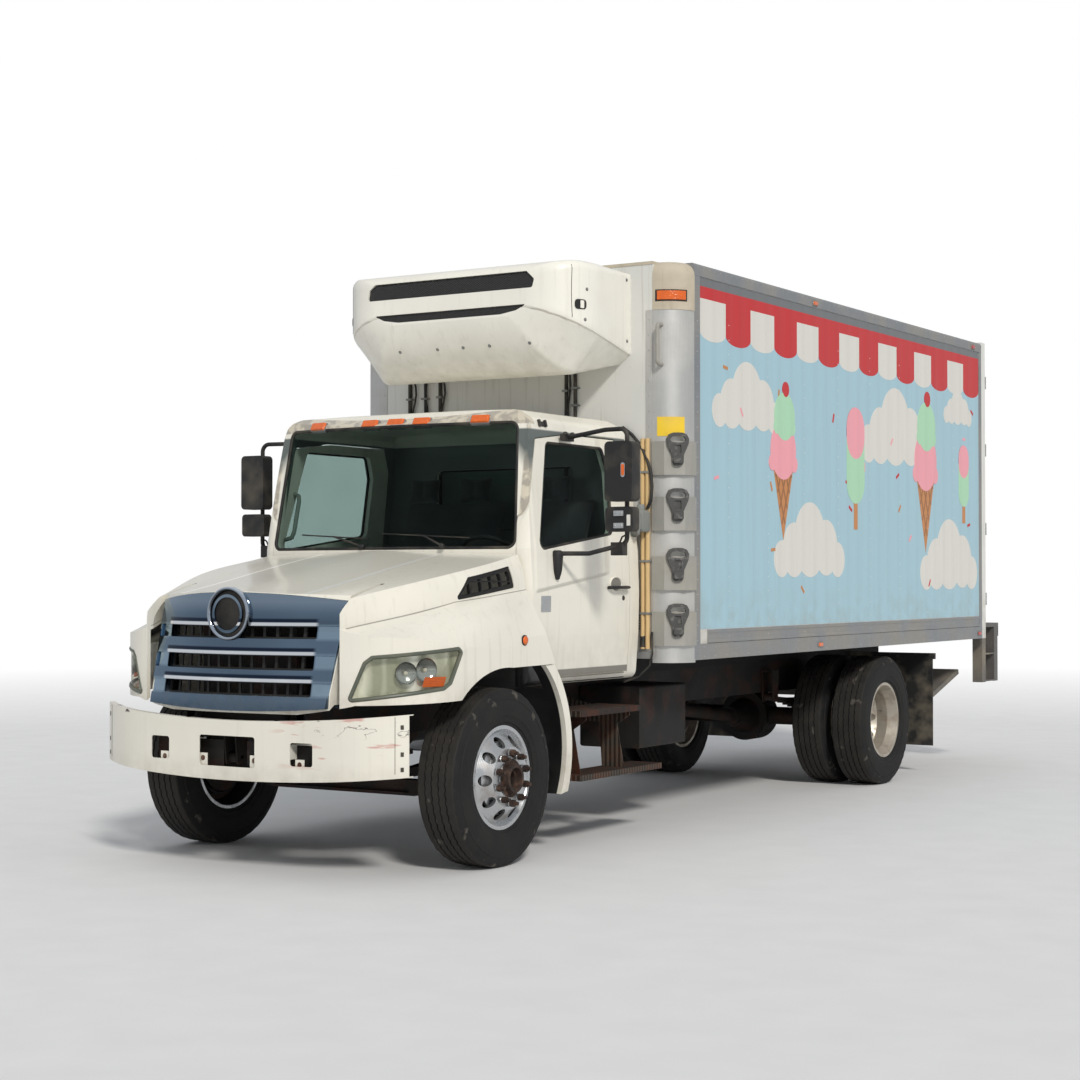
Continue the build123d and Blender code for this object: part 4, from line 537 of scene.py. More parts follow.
def underside(name, colour, rust=0.45, soil=0.5):
    """Black-painted chassis steel with rust breaking through and dry road dirt."""
    finish = Finish(name)
    bloom = finish.noise(5.5, 6).over(0.5, 0.12)
    dirt = finish.noise(3, 5).over(0.4, 0.35)
    tone = finish.mix(colour, shade(DUST, 0.5), dirt * soil * 0.3)
    brown = finish.mix(shade(RUST, 0.7), shade(RUST, 0.3), finish.noise(30, 4))
    finish.set(Base_Color=finish.mix(tone, brown, bloom * rust), Roughness=0.62 + dirt * 0.25, Metallic=0.1)
    finish.bump(finish.noise(70, 5) * (0.4 + bloom), 0.0014)


def tread_plate(name, colour):
    """Rusted checker plate: slanted bars that cross, worn bright on top."""
    finish = Finish(name)
    first = ((finish.x + finish.y) * 95).sine()
    second = ((finish.x - finish.y) * 95).sine()
    bars = (first * second).over(0.35, 0.2)
    rust = finish.noise(9, 6).over(0.42, 0.2)
    tone = finish.mix(colour, finish.mix(RUST, shade(RUST, 0.4), finish.noise(40, 3)), rust * 0.8)
    finish.set(Base_Color=finish.mix(tone, DUST, bars * 0.25), Roughness=0.7, Metallic=0.2)
    finish.bump(bars + finish.noise(80, 3) * 0.3, 0.003)


def glass(name, tint, cover):
    """Tinted glass: a clear sheet seen through, under a sharp gloss with a faint film of dust."""
    finish = Finish(name)
    film = finish.noise(4, 5).over(0.45, 0.4)
    finish.set(Base_Color=shade(tint, 0.04), Roughness=0.03 + film * 0.06, IOR=1.5, Specular_IOR_Level=0.6)
    clear = finish.nodes.new("ShaderNodeBsdfTransparent")
    clear.inputs["Color"].default_value = tint
    slant = finish.node("ShaderNodeLayerWeight", {}, {"Blend": 0.5}, "Facing")
    finish.blend(slant ** 5 * 0.85 + film * 0.04 + cover, clear, finish.shader)


def lens(name, colour, lines=(1, 1, 90)):
    """Moulded lamp lens: coloured plastic with ribs and a soft inner glow."""
    finish = Finish(name)
    ribs = finish.noise(5, 1, lines)
    finish.set(Base_Color=finish.mix(colour, shade(colour, 0.55), finish.noise(40, 3)),
               Roughness=0.16 + ribs * 0.1, Coat_Weight=0.8, Coat_Roughness=0.06,
               Emission_Color=colour, Emission_Strength=0.12)
    finish.bump(ribs + finish.cells(90), 0.001)


def printed(name, colour, fade=0.25):
    """Vinyl print on ribbed sheet: faint upright bands, faded patches and thin runs of dirt."""
    finish = Finish(name)
    bands = (finish.y * 31).sine()
    worn = finish.noise(1.1, 5).over(0.4, 0.4)
    runs = finish.noise(1.0, 5, (1, 34, 1.2)).over(0.56, 0.16)
    tone = finish.mix(colour, shade(colour, 1.07), worn * fade)
    tone = finish.mix(tone, shade(colour, 0.90), bands.over(0.2, 0.8) * 0.35)
    tone = finish.mix(tone, DUST, runs * 0.10)
    low = finish.z.under(1.30, 0.35)
    tone = finish.mix(tone, DUST, low * finish.noise(8, 5).over(0.4, 0.3) * 0.3)
    finish.set(Base_Color=tone, Roughness=0.38 + worn * 0.12, Coat_Weight=0.15)
    finish.bump(bands * 0.6 + finish.noise(3, 2), 0.0009)


def cloth(name, colour):
    """Woven seat cloth: crossed threads, fuzz and rubbed patches."""
    finish = Finish(name)
    warp = (finish.x * 2600).sine()
    weft = ((finish.y + finish.z) * 2600).sine()
    rub = finish.noise(6, 4)
    weave = warp * weft
    finish.set(Base_Color=finish.mix(colour, shade(colour, 1.8), rub * 0.6 + weave * 0.15),
               Roughness=0.9, Sheen_Weight=0.3)
    finish.bump(weave + finish.noise(300, 2), 0.0006)


def screen(name, colour):
    """Black air screen: two sets of slanted wires that cross in long diamonds."""
    finish = Finish(name)
    first = (finish.x * 150 + finish.z * 260).sine().size()
    second = (finish.x * 150 - finish.z * 260).sine().size()
    wires = first.least(second).under(0.15, 0.25)
    finish.set(Base_Color=finish.mix(shade(colour, 0.3), linear(0.34, 0.34, 0.35), wires), Roughness=0.45)
    finish.bump(wires, 0.006)


def timber(name, colour):
    finish = Finish(name)
    grain = finish.noise(9, 6, (18, 1, 18))
    stain = finish.noise(2, 4).over(0.4, 0.4)
    tone = finish.mix(colour, shade(colour, 0.5), grain)
    tone = finish.mix(tone, GRIME, stain * 0.5)
    # Painted shade: near-black below z 1.20, under the floor.
    tone = finish.mix(linear(0.05, 0.047, 0.045), tone, finish.z.over(1.20, 0.01))
    finish.set(Base_Color=tone, Roughness=0.75)
    finish.bump(grain, 0.0015)


# Meshes

def frame_of(normal):
    """Two directions across a normal, and the normal itself."""
    n = Vector(normal).normalized()
    u = n.cross((0, 0, 1) if abs(n.z) < 0.9 else (0, 1, 0)).normalized()
    return u, n.cross(u), n


class Form:
    """Points and faces gathered for one piece."""

    def __init__(self):
        self.points = []
        self.faces = []

    def add(self, points, faces):
        start = len(self.points)
        self.points += [Vector(p) for p in points]
        self.faces += [tuple(start + i for i in face) for face in faces]
        return self

    def loft(self, rings, closed=False, capped=True):
        """Skin over rings of equal length; closed joins the last ring to the first."""
        count = len(rings[0])
        points = [p for ring in rings for p in ring]
        faces = []
        for i in range(len(rings) if closed else len(rings) - 1):
            a, b = i * count, (i + 1) % len(rings) * count
            faces += [(a + j, a + (j + 1) % count, b + (j + 1) % count, b + j) for j in range(count)]
        if capped and not closed:
            faces += [tuple(reversed(range(count))), tuple(range(len(points) - count, len(points)))]
        return self.add(points, faces)

    def slab(self, outline, push):
        return self.loft([[Vector(p) for p in outline], [Vector(p) + Vector(push) for p in outline]])

    def box(self, low, high):
        low, high = Vector(low), Vector(high)
        corners = ((low.x, low.y), (high.x, low.y), (high.x, high.y), (low.x, high.y))
        outline = [(x, y, low.z) for x, y in corners]
        return self.slab(outline, (0, 0, high.z - low.z))

    def tube(self, path, radius, sides=12, closed=False, flat=1.0):
        """A tube along a path; flat below 1 thins it along the second direction across."""
        path = [Vector(p) for p in path]
        rings = []
        u = None
        for i, point in enumerate(path):
            before = path[i - 1] if i or closed else point
            after = path[(i + 1) % len(path)] if i < len(path) - 1 or closed else point
            along = (after - before).normalized()
            u = frame_of(along)[0] if u is None else (u - along * u.dot(along)).normalized()
            v = along.cross(u)
            rings.append([point + (u * math.cos(t) + v * math.sin(t) * flat) * radius
                          for t in (math.tau * j / sides for j in range(sides))])
        return self.loft(rings, closed)

    def lathe(self, centre, axis, profile, steps=32, capped=False):
        """A profile of (along, radius) spun about an axis."""
        u, v, n = frame_of(axis)
        rings = [[Vector(centre) + n * along + (u * math.cos(t) + v * math.sin(t)) * radius
                  for t in (math.tau * j / steps for j in range(steps))] for along, radius in profile]
        return self.loft(rings, capped=capped)

    def dome(self, centre, normal, radius, height, sides=8):
        return self.lathe(centre, normal, [(-0.001, radius), (height * 0.45, radius * 0.92),
                                           (height, radius * 0.45)], sides, True)

    def hexagon(self, centre, normal, radius, height):
        """A bolt head on its washer."""
        foot = height * 0.2
        self.lathe(centre, normal, [(-0.001, radius * 1.45), (foot, radius * 1.45)], 16, True)
        head = [(foot, radius), (height * 0.8, radius), (height, radius * 0.8)]
        return self.lathe(centre, normal, head, 6, True)

    def plate(self, centre, normal, width, height, thick, corner, taper=1.0):
        """A rounded rectangle that stands proud of a surface; taper below 1 narrows its face."""
        n = Vector(normal).normalized()
        across = Vector((0, 0, 1)).cross(n).normalized()
        rise = n.cross(across)
        rings = [[Vector(centre) + n * depth + (across * a + rise * b) * scale
                  for a, b in rectangle_round(width, height, corner)]
                 for depth, scale in ((-0.002, 1.0), (thick * 0.65, 1.0), (thick, taper))]
        return self.loft(rings)

    def round_post(self, radius, first, last, low, high, thick):
        """A sheet bent round the left corner post, between two angles in degrees and two heights."""
        centre = at(POST_X, POST_STATION, 0)
        rings = []
        for j in range(13):
            t = math.radians(first + (last - first) * j / 12)
            out = Vector((math.cos(t), math.sin(t), 0))
            rings.append([centre + out * r + Vector((0, 0, z)) for r, z in
                          ((radius, low), (radius + thick, low), (radius + thick, high), (radius, high))])
        return self.loft(rings)

    def both_sides(self):
        """Adds the mirror image on the other side of the truck."""
        points = [(-p.x, p.y, p.z) for p in self.points]
        return self.add(points, [tuple(reversed(face)) for face in self.faces])


def make(name, form, finish, body, replaces=(), bevel=0.0, smooth=40, subdivide=0):
    """A piece from a form, with its finish, ridden body and material slot."""
    mesh = bpy.data.meshes.new(name)
    mesh.from_pydata(form.points, [], form.faces)
    tidy = bmesh.new()
    tidy.from_mesh(mesh)
    bmesh.ops.recalc_face_normals(tidy, faces=tidy.faces)
    tidy.to_mesh(mesh)
    tidy.free()
    mesh.materials.append(FINISHES[finish].material)
    mesh.shade_smooth()
    mesh.set_sharp_from_angle(angle=math.radians(smooth))
    piece = bpy.data.objects.new(name, mesh)
    bpy.context.scene.collection.objects.link(piece)
    if bevel:
        edges = piece.modifiers.new("Edges", "BEVEL")
        edges.width = bevel
        edges.segments = 2
        edges.limit_method = "ANGLE"
    if subdivide:
        rounds = piece.modifiers.new("Rounds", "SUBSURF")
        rounds.levels = subdivide
        rounds.render_levels = subdivide
    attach(piece, body)
    if replaces:
        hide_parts(*replaces)
    return piece


def node_mesh(node):
    """A cleaned copy of a CAD node's mesh."""
    copy = bmesh.new()
    copy.from_mesh(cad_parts[node].data)
    bmesh.ops.remove_doubles(copy, verts=copy.verts, dist=0.00005)
    bmesh.ops.recalc_face_normals(copy, faces=copy.faces)
    return copy


SURFACES = {}


def touch(node, start, direction):
    """Where a ray from start first meets a CAD node, with the normal there."""
    if node not in SURFACES:
        copy = node_mesh(node)
        SURFACES[node] = BVHTree.FromBMesh(copy)
        copy.free()
    point, normal = SURFACES[node].ray_cast(Vector(start), Vector(direction).normalized())[:2]
    if point is None:
        raise RuntimeError(f"no surface of {node} beyond {tuple(start)}")
    return point, normal


def touch_side(node, side, station, z):
    """Where a node's outer face is met from the truck's left or right."""
    return touch(node, at(side * 2, station, z), (-side, 0, 0))


def touch_front(node, x, z, start=-1.0):
    """Where a node is met from the front."""
    return touch(node, at(x, start, z), (0, 1, 0))


def touch_rear(x, z):
    """Where the rear frame is met from behind."""
    return touch("rear_frame", at(x, 9.0, z), (0, -1, 0))


def rims_of(node, facing, keep=lambda p: True):
    """Closed edge loops round the faces of a node that face one way."""
    copy = node_mesh(node)
    facing = Vector(facing).normalized()
    chosen = {f for f in copy.faces if f.normal.dot(facing) > 0.5 and keep(f.calc_center_median())}
    edges = [e for e in copy.edges if sum(f in chosen for f in e.link_faces) == 1]
    loops = []
    while edges:
        edge = edges.pop(0)
        first, here = edge.verts
        loop = [first.co.copy()]
        while here is not first:
            loop.append(here.co.copy())
            following = next((e for e in here.link_edges if e in edges), None)
            if following is None:
                break
            edges.remove(following)
            here = following.other_vert(here)
        loops.append(loop)
    copy.free()
    return sorted(loops, key=len, reverse=True)


def settings():
    return bpy.context.scene.truck_colours, bpy.context.scene.truck_sizes


def rectangle_round(width, height, radius, steps=5):
    """Points of a rounded rectangle about the origin, as (across, up)."""
    points = []
    for corner, (sx, sy) in enumerate(((1, 1), (-1, 1), (-1, -1), (1, -1))):
        for j in range(steps + 1):
            t = math.pi / 2 * (corner + j / steps)
            points.append((sx * (width / 2 - radius) + radius * math.cos(t),
                           sy * (height / 2 - radius) + radius * math.sin(t)))
    return points


# CAD nodes that wear each finish
NODE_FINISHES = {
    "chassis_black": ("frame", "battery_box"),
    "axle_iron": ("front_axle", "rear_axle", "driveshaft", "knuckle_left", "knuckle_right", "engine",
                  "leaf_springs", "exhaust"),
    "tank_metal": ("fuel_tank",),
    "flap_rubber": ("mud_flaps",),
    "bumper_paint": ("front_bumper",),
    "cab_paint": ("cab_shell",),
    "door_paint": ("door_left", "door_right"),
    "hood_paint": ("hood",),
    "guard_paint": ("fender_guards",),
    "dark_glass": ("cab_glass", "door_glass_left", "door_glass_right"),
    "dash_plastic": ("dashboard", "steering_wheel"),
    "seat_cloth": ("seats",),
    "step_rust": ("cab_steps",),
    "grille_chrome": ("grille",),
    "lamp_chrome": ("headlamps",),
    "slot_black": ("black_grilles",),
    "black_plastic": ("mirror_left", "mirror_right"),
    "floor_timber": ("box_floor",),
    "wall_white": ("box_front_wall",),
    "side_white": ("box_sides",),
    "roof_white": ("box_roof",),
    "rail_aluminium": ("box_rails",),
    "post_aluminium": ("corner_posts",),
    "cap_beige": ("corner_caps",),
    "rear_white": ("rear_frame", "rear_door_left", "rear_door_right"),
    "unit_white": ("refrigeration_unit",),
    "air_screen": ("unit_grilles",),
    "pipe_rubber": ("unit_pipes",),
    "step_cast": ("access_steps",),
    "amber_lens": ("marker_lamps",),
    "lift_steel": ("liftgate", "lift_platform"),
    "front_wheel": ("rim_front_left", "rim_front_right"),
    "rear_wheel": ("rims_rear_left", "rims_rear_right"),
    "front_tyre": ("tyre_front_left", "tyre_front_right"),
    "rear_tyre": ("tyres_rear_left", "tyres_rear_right"),
}


class TRUCK_OT_finishes(Operator):
    """Make every paint, metal, glass and rubber, and give the CAD nodes theirs"""
    bl_idname = "truck.finishes"
    bl_label = "Finishes"

    def execute(self, context):
        colours, _ = settings()
        FINISHES.clear()
        cab_finish("cab_paint", colours.cab)
        door_finish("door_paint", colours.cab)
        hood_finish("hood_paint", shade(colours.cab, 0.97))
        guard_finish("guard_paint", colours.cab)
        bowl_finish("lamp_bowl")
        bumper_finish("bumper_paint", shade(colours.cab, 0.93))
        rear = painted("rear_white", colours.body, 0.42, 0.05, (1.1, 1.8), 0.6, 0.3)
        galvanised = rear.mix(linear(0.46, 0.47, 0.47), linear(0.62, 0.63, 0.62), rear.cells(40, "Color"))
        rear.paint_over(galvanised, rear.station.over(REAR_PROUD, 0.001))
        step_finish("step_cast")
        # The grille's blue tone is painted sky reflection.
        grille_finish("grille_chrome", linear(0.44, 0.52, 0.60))
        pipe_finish("pipe_rubber")
        for row in (
                ("wall_white", shade(colours.body, 0.93), 0.45, 0.0, (1.1, 1.9), 0.7, 0.35),
                ("side_white", colours.body, 0.42, 0.05, (1.2, 1.6), 0.6, 0.3),
                ("roof_white", colours.body, 0.5, 0.0, (3.4, 4.2), 0.25, 0.1),
                ("cap_beige", colours.cap, 0.6, 0.0, (3.3, 3.9), 0.5, 0.5),
                ("unit_white", colours.unit, 0.34, 0.2, (2.9, 3.3), 0.35, 0.15),
                # Grey for trim, also used as painted shadow under the doors
                ("mould_grey", linear(0.50, 0.49, 0.46), 0.5, 0.0, (1.0, 1.1), 0.4, 0.2)):
            painted(*row)
        for row in (
                ("post_aluminium", linear(0.80, 0.80, 0.79), 0.36, (40, 40, 1), 0.2, 0.2, 0.7),
                ("rail_aluminium", linear(0.63, 0.64, 0.65), 0.42, (30, 1, 30), 0.45, 0.3, 0.75),
                ("tank_metal", linear(0.66, 0.67, 0.68), 0.30, (1, 20, 20), 0.5, 0.2, 0.8),
                ("lift_steel", linear(0.45, 0.44, 0.43), 0.5, (20, 20, 1), 0.6, 0.4, 0.5),
                ("bright_steel", linear(0.78, 0.79, 0.80), 0.28, (1, 1, 20), 0.25, 0.2),
                ("box_grey", linear(0.52, 0.53, 0.53), 0.45, (1, 1, 30), 0.3, 0.2, 0.3),
                ("rust_bolt", linear(0.33, 0.20, 0.15), 0.7, (1, 1, 1), 0.3, 0.5, 0.3),
                ("ring_dark", linear(0.10, 0.105, 0.115), 0.25, (1, 1, 1), 0.2, 0.2, 0.7)):
            metal(*row)
        for row in (
                ("ring_chrome", linear(0.74, 0.78, 0.83)),
                ("lamp_chrome", linear(0.86, 0.87, 0.86)),
                ("mirror_silver", linear(0.88, 0.90, 0.91))):
            chrome(*row)
        for row in (
                ("black_plastic", linear(0.09, 0.09, 0.095)),
                ("dash_plastic", linear(0.11, 0.115, 0.12), 0.7),
                ("seal_rubber", linear(0.07, 0.07, 0.072), 0.6, 120, 0.3),
                ("bezel_grey", linear(0.30, 0.32, 0.28), 0.4, 120, 0.3),
                ("slot_black", linear(0.022, 0.022, 0.024), 0.6, 120, 0.05),
                ("cabin_grey", linear(0.52, 0.55, 0.53), 0.6, 200, 0.2),
                ("socket_grey", linear(0.47, 0.48, 0.47), 0.5, 200, 0.4),
                ("yellow_plate", linear(0.90, 0.73, 0.17), 0.45, 60, 0.3),
                ("flap_rubber", linear(0.10, 0.10, 0.10), 0.75, 50, 0.6)):
            plastic(*row)
        rubber("front_tyre", FRONT_AXLE)
        rubber("rear_tyre", REAR_AXLE)
        front_centre = middle("tyre_front_left").x
        wheel_finish("front_wheel", linear(0.80, 0.81, 0.82), FRONT_AXLE, front_centre + 0.173, 0.100, True)
        wheel_finish("rear_wheel", linear(0.76, 0.73, 0.68), REAR_AXLE, 0.92, 0.100, False)
        # Both are their black paint darkened further as painted shade under the body.
        underside("chassis_black", linear(0.06, 0.055, 0.052), 0.45, 0.25)
        underside("axle_iron", linear(0.085, 0.07, 0.06), 0.5, 0.3)
        tread_plate("step_rust", linear(0.15, 0.125, 0.11))
        glass("dark_glass", (0.70, 0.765, 0.75, 1), 0.03)
        glass("lamp_glass", linear(0.95, 0.95, 0.92), 0.07)
        lens("amber_lens", colours.amber)
        lens("red_lens", colours.red)
        for row in (
                ("panel_blue", colours.panel),
                ("awning_red", colours.awning),
                ("cloud_white", colours.cloud, 0.15),
                ("strip_grey", linear(0.42, 0.43, 0.44), 0.2),
                ("cone_brown", colours.cone),
                ("cone_dark", shade(colours.cone, 0.55)),
                ("cream_pink", linear(0.93, 0.62, 0.66)),
                ("cream_mint", linear(0.66, 0.84, 0.70))):
            printed(*row)
        cloth("seat_cloth", linear(0.20, 0.205, 0.215))
        screen("air_screen", BLACK)
        timber("floor_timber", linear(0.42, 0.33, 0.24))
        for name, nodes in NODE_FINISHES.items():
            for part in (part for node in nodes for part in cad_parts[node].material_slots):
                part.material = FINISHES[name].material
        return {"FINISHED"}


class TRUCK_OT_tyres(Operator):
    """Cut ribs, grooves, shoulder notches and sidewall rings into the six tyres"""
    bl_idname = "truck.tyres"
    bl_label = "Tyres"

    def execute(self, context):
        _, sizes = settings()
        for side, word in SIDES:
            front = self.tyre(sizes, side, "tyre_front_" + word, (middle("tyre_front_left").x,), FRONT_AXLE)
            make("tread_front_" + word, front, "front_tyre", "wheel_front_" + word,
                 ("tyre_front_" + word,), smooth=30)
            low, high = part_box("tyres_rear_left")
            half = self.half_width()
            rear = self.tyre(sizes, side, "tyres_rear_" + word, (low.x + half, high.x - half), REAR_AXLE)
            make("treads_rear_" + word, rear, "rear_tyre", "wheel_rear_" + word,
                 ("tyres_rear_" + word,), smooth=30)
        return {"FINISHED"}

    def half_width(self):
        low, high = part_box("tyre_front_left")
        return (high.x - low.x) / 2

    def tyre(self, sizes, side, node, centres, axle):
        half = self.half_width() - 0.0005
        form = Form()
        for centre in centres:
            rings = []
            for step in range(sizes.tyre_steps):
                turn = math.tau * step / sizes.tyre_steps
                section = self.section(half, sizes, step)
                across, up = math.cos(turn), math.sin(turn)
                rings.append([Vector((side * (centre + x), axle + across * r, AXLE_Z + up * r))
                              for x, r in section])
            form.loft(rings, closed=True)
        return form

    def section(self, half, sizes, step):
        """Half width against radius, from one bead over the tread to the other."""
        outer = TYRE_RADIUS
        notch = 0.006 if step % 3 == 0 else 0.0
        wall = ((0.036, 0.296), (0.024, 0.300), (0.020, 0.314), (0.0125, 0.318), (0.010, 0.330),
                (0.004, 0.352), (0.0015, 0.356), (0.0015, 0.372), (0.0, 0.388), (0.0, 0.420), (0.003, 0.446),
                (0.001, 0.449), (0.001, 0.454), (0.0055, 0.458), (0.009, 0.476))
        side = [(half - inward, r) for inward, r in wall]
        side += [(half - 0.016 - notch, outer - 0.016), (half - 0.021, outer - 0.010),
                 (half - 0.026 - notch, outer - 0.0045)]
        tread = []
        sway = 0.0035 * (1 if step % 2 else -1)
        for groove in (0.068, 0.023, -0.023, -0.068):
            low, high = groove - sizes.groove_width / 2 + sway, groove + sizes.groove_width / 2 + sway
            top = outer - 0.0035 * (groove / 0.1) ** 2
            tread += [(high, top), (high - 0.0025, top - sizes.groove_depth),
                      (low + 0.0025, top - sizes.groove_depth), (low, top)]
        far = [(-x, r) for x, r in reversed(side)]
        return side + tread + far + [(-half + 0.05, 0.292), (half - 0.05, 0.292)]


class TRUCK_OT_wheels(Operator):
    """Add the valve stems and the front brake drums"""
    bl_idname = "truck.wheels"
    bl_label = "Wheel fittings"

    def execute(self, context):
        centre = middle("tyre_front_left").x
        along = Vector((0, math.cos(VALVE_TURN), math.sin(VALVE_TURN)))
        for side, word in SIDES:
            stem = Form()
            root = Vector((side * (centre + 0.062), FRONT_AXLE, AXLE_Z)) + along * 0.268
            bend, tip = Vector((side * 0.03, 0, 0)), Vector((side * 0.075, 0, 0)) - along * 0.02
            stem.tube([root, root + bend, root + tip], 0.0045, 8)
            make("valve_front_" + word, stem, "bright_steel", "wheel_front_" + word)
            rear = Form()
            root = Vector((side * 1.02, REAR_AXLE + 0.25, AXLE_Z + 0.06))
            rear.tube([root, root + Vector((side * 0.06, -0.012, 0))], 0.0045, 8)
            make("valve_rear_" + word, rear, "bright_steel", "wheel_rear_" + word)
        for side, word in SIDES:
            hub = middle("tyre_front_" + word)
            section = [(0.0, 0.11), (0.0, 0.250), (0.040, 0.250), (0.047, 0.242), (0.047, 0.11), (0.0, 0.11)]
            drum = Form().lathe(hub, (side, 0, 0), section, 48)
            make("brake_drum_" + word, drum, "axle_iron", "wheel_front_" + word)
        return {"FINISHED"}


class TRUCK_OT_stage(Operator):
    """Set the pale floor, the soft studio light and the camera"""
    bl_idname = "truck.stage"
    bl_label = "Studio"

    def execute(self, context):
        scene = context.scene
        mesh = bpy.data.meshes.new("studio_floor")
        mesh.from_pydata([(-60, -60, 0), (60, -60, 0), (60, 60, 0), (-60, 60, 0)], [], [(0, 1, 2, 3)])
        ground = bpy.data.objects.new("studio_floor", mesh)
        scene.collection.objects.link(ground)
        mesh.materials.append(self.floor_finish())
        self.light(scene)
        camera = bpy.data.objects.new("camera", bpy.data.cameras.new("camera"))
        camera.location = (7.427, -13.199, 1.664)
        camera.rotation_euler = (math.radians(91.02), 0, math.radians(31.96))
        camera.data.lens = 67.28
        camera.data.clip_end = 300
        scene.collection.objects.link(camera)
        scene.camera = camera
        scene.view_settings.view_transform = "Standard"
        return {"FINISHED"}

    def floor_finish(self):
        """Pale matt floor that passes into the white backdrop with distance."""
        finish = Finish("studio_floor")
        far = (finish.x ** 2 + finish.y ** 2) ** 0.5
        specks = finish.noise(3, 4)
        tone = finish.mix(linear(0.86, 0.86, 0.86), linear(0.90, 0.90, 0.90), specks)
        finish.set(Base_Color=tone, Roughness=0.8)
        white = finish.nodes.new("ShaderNodeEmission")
        white.inputs["Color"].default_value = (1, 1, 1, 1)
        seen = finish.node("ShaderNodeLightPath", output="Is Camera Ray")
        finish.blend(far.over(9, 14) * seen, finish.shader, white)
        return finish.material

    def light(self, scene):
        """A soft pale dome and one low sun."""
        world = bpy.data.worlds.new("studio")
        scene.world = world
        world.use_nodes = True
        nodes, links = world.node_tree.nodes, world.node_tree.links
        soft, white = nodes["Background"], nodes.new("ShaderNodeBackground")
        soft.inputs["Color"].default_value = (0.93, 0.96, 1.0, 1)
        soft.inputs["Strength"].default_value = 0.55
        blend, path = nodes.new("ShaderNodeMixShader"), nodes.new("ShaderNodeLightPath")
        links.new(path.outputs["Is Camera Ray"], blend.inputs[0])
        links.new(soft.outputs[0], blend.inputs[1])
        links.new(white.outputs[0], blend.inputs[2])
        links.new(blend.outputs[0], nodes["World Output"].inputs["Surface"])
        white.inputs["Color"].default_value = (1, 1, 1, 1)
        sun = bpy.data.objects.new("key_light", bpy.data.lights.new("key_light", "SUN"))
        sun.data.energy = 2.1
        sun.data.angle = math.radians(9)
        sun.data.color = (1.0, 0.965, 0.91)
        sun.rotation_euler = Vector((0.60, -0.52, 0.58)).to_track_quat("Z", "Y").to_euler()
        scene.collection.objects.link(sun)


